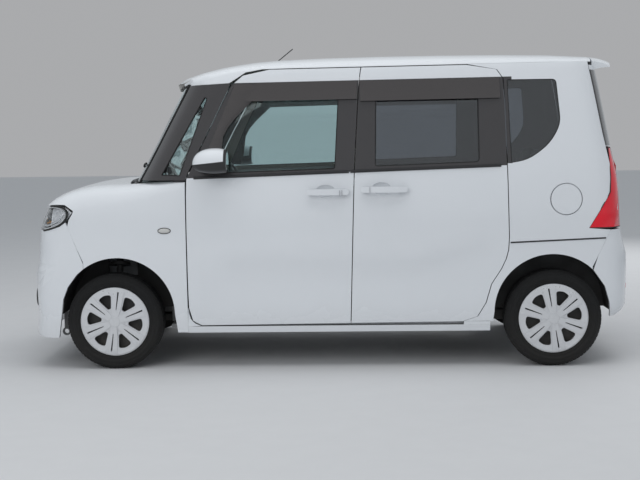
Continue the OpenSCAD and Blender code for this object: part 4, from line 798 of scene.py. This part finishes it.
def lamps():
    lenses = {}
    for name, node, outer, mat in (
            ("headlamp", nodes["headlamps"], front_lens, LENS), ("tail_lamp", nodes["tail_lamps"], rear_lens, RED_LENS)):
        whole = dressed(node.name, mat)
        cut(whole, (LAMP_SPLIT, 0, 0), (1, 0, 0))
        lens = lenses[name] = shell(name + "_lens", whole, outer, "body", mat, 0, 0.0025, 50)
        edge_strip(name + "_seal", whole, outer, 0.0022 if mat is LENS else 0.0035, "body", RUBBER, -0.002)
        if mat is LENS:
            shell(name + "_bright_panel", whole, lambda c, n: outer(c, n) and c.x > LAMP_SPLIT, "body", LAMP_WHITE, -0.009, 0.002,
                    50)
        shell(name + "_tray", whole, lambda c, n: not outer(c, n), "body", TRIM if mat is LENS else RED_TRAY, -0.0015, 0.0015, 40)
        shell(name + "_back", whole, outer, "body", LAMP_GREY if mat is LENS else RED_TRAY, -0.040, 0.002, 50)
        bpy.data.objects.remove(whole)
        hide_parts(node.name)
    front_tree, rear_tree = tree_of(lenses["headlamp"]), tree_of(lenses["tail_lamp"])
    around = tree_of(PANELS["front_fenders"], PANELS["front_bumper"], PANELS["bonnet"], lenses["headlamp"])
    for side_name, side in SIDES:
        for part, share, radius, out, mat in (("rim", 1.0, 0.0046, 0.0005, RUBBER), ("bright_rim", 0.86, 0.0036, 0.0015, CHROME)):
            places = []
            for x, z in LAMP_LINE:
                at = LAMP_MIDDLE + (Vector((x, 0, z)) - LAMP_MIDDLE) * share
                found = [hit(around, (at.x + a, 2 * side, at.z + b), (0, -side, 0))[0] for a in LAMP_NEAR for b in LAMP_NEAR]
                reach = max((abs(p.y) for p in found if p), default=0)
                if reach > 0.45:
                    places.append(Vector((at.x, (reach + out) * side, at.z)))
            places = [places[0]] + [(a + 2 * b + c) / 4 for a, b, c in zip(places, places[1:], places[2:])] + [places[-1]]
            bar(f"headlamp_{part}_{side_name}", places, radius, "body", mat)
    for side_name, side in SIDES:
        for part, y, z, radius in (("low_beam", 0.560, 0.850, 0.036), ("high_beam", 0.478, 0.846, 0.032)):
            spot, normal = hit(front_tree, (-3, side * y, z), (1, 0, 0))
            aim = (normal + Vector((-1.2, 0, 0))).normalized()
            place = spot - aim * 0.028
            turned(f"{part}_reflector_{side_name}", place, aim,
                    ((radius - 0.002, 0.010), (radius, 0.014), (radius + 0.005, 0.012), (radius + 0.003, 0.004),
                    (radius * 0.86, 0.0), (radius * 0.7, -0.008)), "body", CHROME)
            turned(f"{part}_bulb_{side_name}", place, aim, ((radius * 0.80, -0.008), (radius * 0.78, 0.002),
                    (radius * 0.60, 0.011), (radius * 0.30, 0.016), (0, 0.0175)), "body", PROJECTOR)
        strip = []
        for i in range(13):
            y, z = 0.440 + 0.150 * i / 12, 0.806 + 0.006 * i / 12
            spot, normal = hit(front_tree, (-3, side * y, z), (1, 0, 0))
            if spot:
                strip.append(spot - normal * 0.0115)
        for x, z in ((NOSE + 0.120, 0.815), (NOSE + 0.150, 0.826), (NOSE + 0.178, 0.840), (NOSE + 0.200, 0.858),
                (NOSE + 0.214, 0.878)):
            spot, normal = hit(front_tree, (x, 2 * side, z), (0, -side, 0))
            if spot:
                strip.append(spot - normal * 0.0115)
        bar("headlamp_bright_strip_" + side_name, strip, 0.0082, "body", CHROME)
        spot, normal = hit(front_tree, (NOSE + 0.118, 2 * side, 0.842), (0, -side, 0))
        bar("front_turn_lamp_" + side_name,
                [spot - normal * 0.016 + Vector((0.016 * t, 0, 0.006 * t)) for t in (-1, -0.3, 0.4, 1)], 0.006, "body", AMBER)
        for part, z, radius in (("stop", 1.120, 0.026), ("tail", 1.010, 0.034), ("turn", 0.890, 0.036)):
            spot, normal = hit(rear_tree, (3, side * 0.628, z), (-1, 0, 0))
            turned(f"{part}_reflector_{side_name}", spot - normal * 0.024, normal,
                    ((radius, 0.014), (radius + 0.004, 0.016), (radius + 0.004, 0.010), (radius * 0.6, -0.004),
                    (radius * 0.3, -0.008), (0, -0.009)), "body", CHROME)
        place = on_flank(-0.914, 0.782, side)
        deselect()
        bpy.ops.mesh.primitive_uv_sphere_add(segments=32, ring_count=16, radius=1, scale=(0.034, 0.008, 0.0145), location=place)
        repeater = made("side_repeater_" + side_name)
        edit(repeater)
        bpy.ops.mesh.bisect(plane_co=place - Vector((0, 0.004 * side, 0)), plane_no=(0, side, 0), clear_inner=True, use_fill=True)
        leave()
        done(repeater, "body", REPEATER)
        turns = np.linspace(0, 2 * math.pi, 40, endpoint=False)
        ring = [place + Vector((0.035 * math.cos(t), 0.001 * side, 0.0155 * math.sin(t))) for t in turns]
        bar("side_repeater_rim_" + side_name, ring, 0.0022, "body", RUBBER, True)


lamps()


# Small outside pieces on the flanks
MIRROR_AT = Vector((-0.612, 0.832, 1.148))      # middle of a mirror: along the car, out, up
MIRROR_BACK, MIRROR_FOOT_Z = -0.545, 1.116
MIRROR_LONG, MIRROR_WIDE, MIRROR_TALL, MIRROR_BELOW = 0.122, 0.088, 0.090, 0.046      # half sizes; above and below the middle


def mirror_form(name, side, grow, cuts, filled):
    """Rounded form of a door mirror, flatter below its middle than above, cut off beyond the given planes."""
    deselect()
    bpy.ops.mesh.primitive_uv_sphere_add(segments=48, ring_count=32, radius=1)
    ob = made(name)
    for v in ob.data.vertices:
        x, y, z = (math.copysign(abs(t) ** 0.88, t) for t in v.co)
        half = MIRROR_TALL if z > 0 else MIRROR_BELOW
        v.co = (MIRROR_AT.x + x * (MIRROR_LONG + grow), side * MIRROR_AT.y + y * (MIRROR_WIDE + grow),
                MIRROR_AT.z + z * (half + grow))
    for place, normal in cuts:
        edit(ob)
        bpy.ops.mesh.bisect(plane_co=place, plane_no=normal, clear_outer=True, use_fill=filled)
        leave()
    return ob


def flank_pieces():
    for side_name, side in SIDES:
        bar("slide_rail_cover_" + side_name,
                [on_flank(1.010 + 0.525 * i / 20, 0.698 + 0.021 * i / 20, side, -0.0015) for i in range(21)], 0.0050, "body", TRIM)
        for name, x, z, body in (("front_a", 0.066, 0.984, "front_door_" + side_name),
                ("front_b", 0.078, 0.984, "front_door_" + side_name), ("rear", 0.232, 1.000, "body")):
            low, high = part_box("rear_door_handles" if body == "body" else "front_door_handle_" + side_name)
            face = low.y if side < 0 else high.y
            y0, y1 = sorted((face - 0.0006 * side, face - 0.020 * side))
            block(f"handle_seam_{name}_{side_name}", (x, y0, z - 0.0155), (x + 0.0018, y1, z + 0.0155), body, SEAM_AND_SHADE, 0.0006)
        foot = dressed("mirror_" + side_name, TRIM)
        edit(foot)
        bpy.ops.mesh.bisect(plane_co=(0, 0.800 * side, 0), plane_no=(0, side, 0), clear_outer=True, use_fill=True)
        leave()
        for v in foot.data.vertices:
            v.co = (MIRROR_AT.x + 0.5 * (v.co.x - MIRROR_AT.x), v.co.y, MIRROR_FOOT_Z + 0.4 * (v.co.z - MIRROR_FOOT_Z))
        body = "front_door_" + side_name
        housing = mirror_form("mirror_housing_" + side_name, side, 0.0, (((MIRROR_BACK, 0, 0), (1, 0, 0)),), True)
        applied(housing, "BEVEL", width=0.005, segments=3, limit_method="ANGLE", angle_limit=math.radians(50))
        done(housing, body, TRIM, 45)
        cap = mirror_form("mirror_cap_" + side_name, side, 0.0018,
                (((MIRROR_BACK - 0.014, 0, 0), (1, 0, 0)), ((-0.559, 0, 1.168), (0.10, 0, -1))), False)
        applied(cap, "SOLIDIFY", thickness=0.0014, offset=-1)
        done(cap, body, PAINT, 45)
        pane = mirror_form("mirror_glass_" + side_name, side, -0.009,
                (((MIRROR_BACK + 0.0008, 0, 0), (1, 0, 0)), ((MIRROR_BACK - 0.002, 0, 0), (-1, 0, 0))), True)
        done(pane, body, MIRROR, 30)


flank_pieces()


# Wipers, and pieces on the tail
def wipers():
    screen = tree_of(GLASS["windscreen"])
    rear = tree_of(GLASS["tailgate_glass"])
    for name, a, b, pivot in (("left", (-0.545, 1.150), (-0.075, 1.096), (0.010, 1.070)),
            ("right", (0.020, 1.124), (0.500, 1.118), (0.560, 1.066))):
        places = []
        for i in range(13):
            y, z = a[0] + (b[0] - a[0]) * i / 12, a[1] + (b[1] - a[1]) * i / 12
            place, normal = hit(screen, (-3, y, z), (1, 0, 0))
            places.append(place + normal * 0.0105)
        bar(f"wiper_blade_{name}", places, 0.0055, "body", RUBBER)
        bar(f"wiper_rubber_{name}", [p - Vector((-0.0045, 0, 0.004)) for p in places], 0.0028, "body", TRIM)
        middle = places[6] + Vector((-0.004, 0, 0.004))
        place, normal = hit(screen, (-3, pivot[0], pivot[1] + 0.03), (1, 0, 0))
        root = place + normal * 0.020 + Vector((-0.006, 0, -0.010))
        bar(f"wiper_arm_{name}", [middle, middle.lerp(root, 0.55) + normal * 0.012, root], 0.0062, "body", TRIM)
        turned(f"wiper_pivot_{name}", root, normal, ((0.016, -0.030), (0.016, 0.004), (0.012, 0.010), (0.0, 0.012)), "body", TRIM,
                28)
    places = []
    for i in range(11):
        y, z = -0.330 + 0.400 * i / 10, 1.292 - 0.010 * i / 10
        place, normal = hit(rear, (3, y, z), (-1, 0, 0))
        places.append(place + normal * 0.010)
    bar("rear_wiper_blade", places, 0.0055, "tailgate", RUBBER)
    place, normal = hit(SKIN, (3, 0.06, 1.196), (-1, 0, 0))
    root = place + normal * 0.010
    bar("rear_wiper_arm", [places[5] + normal * 0.004, places[7].lerp(root, 0.5) + normal * 0.010, root + normal * 0.010], 0.0062,
            "tailgate", TRIM)
    turned("rear_wiper_pivot", root, normal, ((0.024, -0.014), (0.024, 0.008), (0.018, 0.016), (0.0, 0.019)), "tailgate", TRIM, 28)


wipers()


def tail_pieces():
    place, _ = hit(SKIN, (3, 0.0, 1.070), (-1, 0, 0))
    block("tailgate_garnish", (place.x - 0.016, -0.330, 1.040), (place.x + 0.010, 0.330, 1.086), "tailgate", PAINT, 0.008,
            top=(0.8, 0.97))
    block("tailgate_grip", (place.x - 0.012, -0.120, 1.026), (place.x + 0.006, 0.120, 1.042), "tailgate", TRIM, 0.004)
    for side_name, side in SIDES:
        block("plate_lamp_" + side_name, (place.x - 0.010, side * 0.20 - 0.022, 1.030),
                (place.x + 0.007, side * 0.20 + 0.022, 1.041), "tailgate", LENS, 0.003)
        spot, normal = hit(SKIN, (3, side * 0.500, 0.430), (-1, 0, 0))
        block("rear_reflector_" + side_name, (spot.x - 0.012, side * 0.500 - 0.045, 0.414),
                (spot.x + 0.004, side * 0.500 + 0.045, 0.446), "body", RED_LENS, 0.004, turn=(0, 0, math.atan2(normal.y, normal.x)))
        spot, normal = hit(SKIN, (-3, side * 0.535, 0.395), (1, 0, 0))
        turned("fog_lamp_rim_" + side_name, spot, (-1, 0.1 * side, 0),
                ((0.056, -0.012), (0.056, 0.004), (0.050, 0.007), (0.043, 0.005), (0.041, -0.008)), "body", TRIM, 40)
        turned("fog_lamp_" + side_name, spot, (-1, 0.1 * side, 0),
                ((0.042, -0.010), (0.042, 0.001), (0.030, 0.004), (0.012, 0.0055), (0.0, 0.0058)), "body", LENS, 40)
    under, _ = hit(SKIN, (TAIL - 0.075, 0.0, 1.45), (0, 0, 1))
    if under:
        block("high_stop_lamp", (under.x - 0.010, -0.130, under.z - 0.020), (under.x + 0.012, 0.130, under.z + 0.002), "tailgate",
                RED_LENS, 0.005)


tail_pieces()


# Cabin
def roof_z(x, y):
    return hit(SKIN, (x, y, 1.30), (0, 0, 1))[0].z


def cabin_pieces():
    low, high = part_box("dashboard")
    face = high.x
    block("instrument_hood", (face - 0.150, 0.160, high.z - 0.012), (face - 0.030, 0.460, high.z + 0.052), "body", PLASTIC, 0.018,
            top=(0.8, 0.9), segments=5)
    block("instrument_face", (face - 0.046, 0.180, high.z - 0.004), (face - 0.026, 0.440, high.z + 0.036), "body", SCREEN_FACE,
            0.008, turn=(0, -0.30, 0))
    block("centre_panel", (face - 0.060, -0.130, low.z + 0.030), (face + 0.012, 0.130, high.z - 0.004), "body", TRIM, 0.014,
            turn=(0, -0.08, 0))
    block("display", (face - 0.020, -0.105, low.z + 0.110), (face + 0.016, 0.105, high.z - 0.016), "body", SCREEN_FACE, 0.006,
            turn=(0, -0.08, 0))
    for i, y in enumerate((-0.060, 0.0, 0.060)):
        turned(f"climate_knob_{i}", (face + 0.012, y, low.z + 0.068), (1, 0, 0.08),
                ((0.022, -0.010), (0.021, 0.012), (0.019, 0.016), (0.0, 0.017)), "body", PLASTIC, 28)
    for name, y in (("left", -0.505), ("middle_left", -0.185), ("middle_right", 0.185), ("right", 0.505)):
        # the one beside the steering wheel sits lower and deeper, clear of the rim
        front, top = (face - 0.006, high.z - 0.060) if name == "middle_right" else (face, high.z - 0.022)
        block("air_vent_" + name, (front - 0.030, y - 0.050, top - 0.070), (front + 0.008, y + 0.050, top), "body", PLASTIC, 0.010)
        for i in range(4):
            z = top - 0.060 + 0.016 * i
            block(f"air_vent_slat_{name}_{i}", (front - 0.004, y - 0.042, z), (front + 0.012, y + 0.042, z + 0.004), "body", TRIM,
                    0.0015)
    block("glovebox_lid", (face - 0.020, -0.450, low.z + 0.010), (face + 0.008, -0.165, high.z - 0.110), "body", PALE_TRIM, 0.012)
    block("glovebox_catch", (face + 0.002, -0.335, high.z - 0.130), (face + 0.013, -0.280, high.z - 0.116), "body", PLASTIC, 0.004)
    bar("shift_lever", [(face - 0.010, 0.165, low.z + 0.060), (face + 0.045, 0.165, low.z + 0.090),
            (face + 0.075, 0.165, low.z + 0.125)], 0.007, "body", CHROME)
    turned("shift_knob", (face + 0.078, 0.165, low.z + 0.130), (0.65, 0, 0.76),
            ((0.012, -0.014), (0.019, -0.004), (0.021, 0.016), (0.017, 0.030), (0.0, 0.034)), "body", PLASTIC, 28)
    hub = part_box("steering_wheel")
    middle = (hub[0] + hub[1]) / 2
    axis = Vector(joints["steering_wheel_turn"]["axis"])
    axis = axis if axis.x > 0 else -axis
    turned("wheel_pad", middle, axis, ((0.052, -0.030), (0.064, -0.004), (0.062, 0.012), (0.050, 0.020), (0.024, 0.0235),
            (0.0, 0.024)), "steering_wheel", PLASTIC, 40)
    bar("indicator_stalk", [middle - axis * 0.055, middle - axis * 0.052 + Vector((0, 0.085, 0.008)),
            middle - axis * 0.040 + Vector((0, 0.165, 0.014))], 0.007, "body", TRIM)
    bar("wiper_stalk", [middle - axis * 0.055, middle - axis * 0.052 - Vector((0, 0.085, -0.008)),
            middle - axis * 0.040 - Vector((0, 0.165, -0.014))], 0.007, "body", TRIM)
    screen = tree_of(GLASS["windscreen"])
    spot, _ = hit(screen, (-3, 0.0, 1.520), (1, 0, 0))
    block("cabin_mirror", (spot.x + 0.050, -0.105, spot.z - 0.072), (spot.x + 0.072, 0.105, spot.z - 0.010), "body", PLASTIC,
            0.010, turn=(0, 0.12, 0), top=(1, 0.9))
    block("cabin_mirror_face", (spot.x + 0.071, -0.097, spot.z - 0.066), (spot.x + 0.0745, 0.097, spot.z - 0.018), "body", MIRROR,
            0.002, turn=(0, 0.12, 0))
    bar("cabin_mirror_stem", [spot + Vector((0.007, 0, 0)), spot + Vector((0.040, 0, -0.012)), spot + Vector((0.058, 0, -0.030))],
            0.007, "body", PLASTIC)
    for side_name, side in SIDES:
        x = -0.560
        ahead, behind = roof_z(x - 0.070, side * 0.30), roof_z(x + 0.070, side * 0.30)
        slope = math.atan2(behind - ahead, 0.14)
        z = (behind + ahead) / 2 - 0.022
        block("sun_visor_" + side_name, (x - 0.080, side * 0.30 - 0.185, z - 0.009), (x + 0.080, side * 0.30 + 0.185, z + 0.009),
                "body", HEADLINER, 0.008, turn=(0, -slope, 0))
        for end, body, x0, x1, z0 in (("front", "front_door_" + side_name, -0.520, -0.040, 0.800),
                ("rear", "body", 0.300, 0.740, 0.830)):
            y = inside_flank((x0 + x1) / 2, z0, side)
            for part, a, b, zz, depth, mat, bevel in (("armrest", x0, x1, (z0, z0 + 0.052), 0.062, PLASTIC, 0.018),
                    ("pull", x0 + 0.05, x0 + 0.24, (z0 + 0.050, z0 + 0.068), 0.050, PALE_TRIM, 0.007),
                    ("pocket", x0 - 0.02, x1 - 0.10, (z0 - 0.280, z0 - 0.150), 0.040, PLASTIC, 0.016),
                    ("switches", x0 + 0.28, x0 + 0.40, (z0 + 0.050, z0 + 0.060), 0.045, TRIM, 0.004)):
                block(f"{end}_door_{part}_{side_name}", (a, min(y, y - depth * side), zz[0]), (b, max(y, y - depth * side), zz[1]),
                        body, mat, bevel)
            yy = inside_flank(x0 + 0.10, z0 - 0.10, side)
            turned(f"{end}_door_speaker_{side_name}", (x0 + 0.02, yy - 0.002 * side, z0 - 0.090), (0, -side, 0),
                    ((0.078, -0.006), (0.078, 0.004), (0.070, 0.009), (0.064, 0.005), (0.030, 0.008), (0.0, 0.0095)), body, TRIM,
                    40)
            block(f"{end}_door_release_{side_name}", (x0 + 0.02, min(yy, yy - 0.016 * side), z0 + 0.110),
                    (x0 + 0.10, max(yy, yy - 0.016 * side), z0 + 0.140), body, CHROME, 0.006)


cabin_pieces()


# Pieces under the bonnet
def engine_pieces():
    low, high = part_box("engine")
    x, z = (low.x + high.x) / 2, high.z
    block("engine_cover", (x - 0.150, -0.140, z - 0.004), (x + 0.110, 0.150, z + 0.048), "body", TRIM, 0.016, top=(0.88, 0.9),
            segments=4)
    for i in range(5):
        block(f"engine_cover_rib_{i}", (x - 0.110, -0.084 + 0.042 * i, z + 0.040), (x + 0.070, -0.072 + 0.042 * i, z + 0.054),
                "body", TRIM, 0.004)
    block("battery", (x + 0.030, -0.330, z + 0.001), (x + 0.190, -0.180, z + 0.130), "body", PLASTIC, 0.006)
    block("battery_lid", (x + 0.028, -0.332, z + 0.118), (x + 0.192, -0.178, z + 0.138), "body", TRIM, 0.005)
    for i, y in enumerate((-0.310, -0.200)):
        turned(f"battery_post_{i}", (x + 0.060, y, z + 0.138), (0, 0, 1),
                ((0.012, -0.006), (0.012, 0.008), (0.008, 0.014), (0.0, 0.015)), "body", ENGINE_METAL, 24)
    block("coolant_tank", (x + 0.040, 0.190, z + 0.001), (x + 0.160, 0.325, z + 0.120), "body", REPEATER, 0.018, top=(0.85, 0.9),
            segments=4)
    turned("coolant_cap", (x + 0.100, 0.257, z + 0.118), (0, 0, 1),
            ((0.024, -0.004), (0.024, 0.016), (0.021, 0.020), (0.0, 0.021)), "body", TRIM, 28)
    bar("intake_hose", [(x - 0.060, 0.150, z + 0.020), (x - 0.040, 0.230, z + 0.040), (x - 0.060, 0.300, z + 0.030),
            (x - 0.120, 0.320, z + 0.016)], 0.026, "body", RUBBER)
    turned("oil_cap", (x - 0.070, -0.180, z + 0.002), (0, 0, 1), ((0.020, -0.004), (0.020, 0.014), (0.017, 0.018), (0.0, 0.019)),
            "body", TRIM, 28)


engine_pieces()


# Seats: padded cushions, backs and head restraints over their frames
# Each row: place along the car, places across, width; cushion (length, height, thickness);
# back (foot, height of the foot, length, thickness, lean); head restraint (width, height, place along and up)
SEAT_ROWS = (
    ("front", AXLE_F + 0.740, (-0.310, 0.310), 0.474, (0.470, 0.398, 0.116), (0.462, 0.432, 0.580, 0.100, 0.268),
    (0.240, 0.165, 0.650, 1.132)),
    ("rear", AXLE_R - 0.640, (-0.268, 0.268), 0.494, (0.456, 0.464, 0.120), (0.492, 0.500, 0.530, 0.100, 0.215),
    (0.228, 0.140, 0.624, 1.124)),
)


def pad(name, size, place, lean, bolster):
    """Closed pad with raised sides, rounded, before it is filled; place is its middle."""
    deselect()
    bpy.ops.mesh.primitive_cube_add(size=1, scale=size)
    ob = made(name)
    edit(ob)
    bpy.ops.mesh.subdivide(number_cuts=7)
    leave()
    applied(ob, "SUBSURF", levels=1, render_levels=1)
    for v in ob.data.vertices:
        edge = min(1, max(0, (abs(v.co.y) / (size[1] / 2) - 0.58) / 0.22))
        front = v.co.z > 0
        if bolster and front:
            v.co.z += bolster * edge * edge * (3 - 2 * edge)
    applied(ob, "BEVEL", width=min(size) * 0.28, segments=4, limit_method="ANGLE")
    ob.location, ob.rotation_euler = place, (0, lean, 0)
    bpy.ops.object.transform_apply(location=True, rotation=True, scale=True)
    return ob


def fill_pad(ob, cap):
    """Filled cover: remeshed, blown up a little as cloth, held to the cap."""
    applied(ob, "REMESH", mode="VOXEL", voxel_size=0.0075)
    start = np.array([v.co for v in ob.data.vertices])
    only(ob)
    modifier = ob.modifiers.new("filling", "CLOTH")
    modifier.settings.use_pressure = True
    modifier.settings.uniform_pressure_force = 4.0
    modifier.settings.effector_weights.gravity = 0
    modifier.settings.quality = 3
    modifier.settings.tension_stiffness = 25
    modifier.collision_settings.use_collision = False
    scene = bpy.context.scene
    for number in range(1, 15):
        scene.frame_set(number)
    bpy.ops.object.modifier_apply(modifier=modifier.name)
    scene.frame_set(1)
    end = np.array([v.co for v in ob.data.vertices])
    move = end - start
    length = np.linalg.norm(move, axis=1, keepdims=True)
    move *= np.minimum(1, cap / np.maximum(length, 1e-9))
    ob.data.vertices.foreach_set("co", (start + move).ravel())
    ob.data.update()
    applied(ob, "SUBSURF", levels=1, render_levels=1)
    return ob


def sew(ob, seams, depth=0.005, width=0.006):
    """Pressed-in seams: each gives the distance of a point from its line."""
    normals = [v.normal.copy() for v in ob.data.vertices]
    for v, normal in zip(ob.data.vertices, normals):
        near = min(abs(seam(v.co)) for seam in seams)
        if near < 3 * width:
            v.co -= normal * depth * math.exp(-(near / width) ** 2)
    ob.data.update()


def copy_to(ob, name, shift):
    other = bpy.data.objects.new(name, ob.data.copy())
    bpy.context.collection.objects.link(other)
    edit(other)
    bpy.ops.transform.translate(value=(0, shift, 0))
    leave()
    return other


def seats():
    for row, x, across, width, (length, z, thick), (foot, back_z, tall, deep, lean), (head_w, head_h, head_x, head_z) in SEAT_ROWS:
        y = across[0]
        cushion = fill_pad(pad("cushion", (length, width - 0.02, thick), (x + length / 2 - 0.006, y, z), -0.045, 0.020), 0.012)
        back = fill_pad(pad("back", (tall, width - 0.02, deep),
                (x + foot + 0.5 * tall * math.sin(lean) + 0.05, y, back_z + 0.5 * tall * math.cos(lean) - 0.004),
                lean - math.pi / 2, 0.022), 0.012)
        head = fill_pad(pad("head", (head_h, head_w, 0.080), (x + head_x, y, head_z), lean - math.pi / 2, 0), 0.008)
        along = Vector((math.sin(lean), 0, math.cos(lean)))
        base = Vector((x + foot, y, back_z))
        sew(cushion, [lambda p: abs(p.y - y) - width * 0.30,
                lambda p: p.x - x - length * 0.62 if abs(p.y - y) < width * 0.30 else 1])
        sew(back, [lambda p: abs(p.y - y) - width * 0.30,
                lambda p: (p - base).dot(along) - tall * 0.70 if abs(p.y - y) < width * 0.30 else 1])
        sew(head, [lambda p: abs(p.y - y) - head_w * 0.40])
        for i, place in enumerate(across):
            for part, pattern in (("cushion", cushion), ("back", back), ("head_restraint", head)):
                ob = copy_to(pattern, f"{row}_seat_{part}_{i}", place - y)
                ob.data.materials.clear()
                ob.data.materials.append(SEAT_CLOTH)
                ob.data.materials.append(SEAT_SIDE)
                reach = (head_w if part == "head_restraint" else width) * 0.30
                paint_faces(ob, lambda c, n: 1 if abs(c.y - place) > reach and part != "head_restraint" else 0)
                only(ob)
                bpy.ops.object.shade_smooth()
                settle(ob, "body")
            for j, off in enumerate((-0.05, 0.05)):
                foot_at = Vector((x + head_x, place + off, head_z)) - along * (head_h / 2 + 0.060)
                bar(f"{row}_seat_head_rod_{i}_{j}", [foot_at, foot_at + along * 0.085], 0.006, "body", CHROME)
        for pattern in (cushion, back, head):
            bpy.data.objects.remove(pattern)
    for name in ("front_seats", "rear_seat"):
        dressed(name, SEAT_SIDE)


seats()
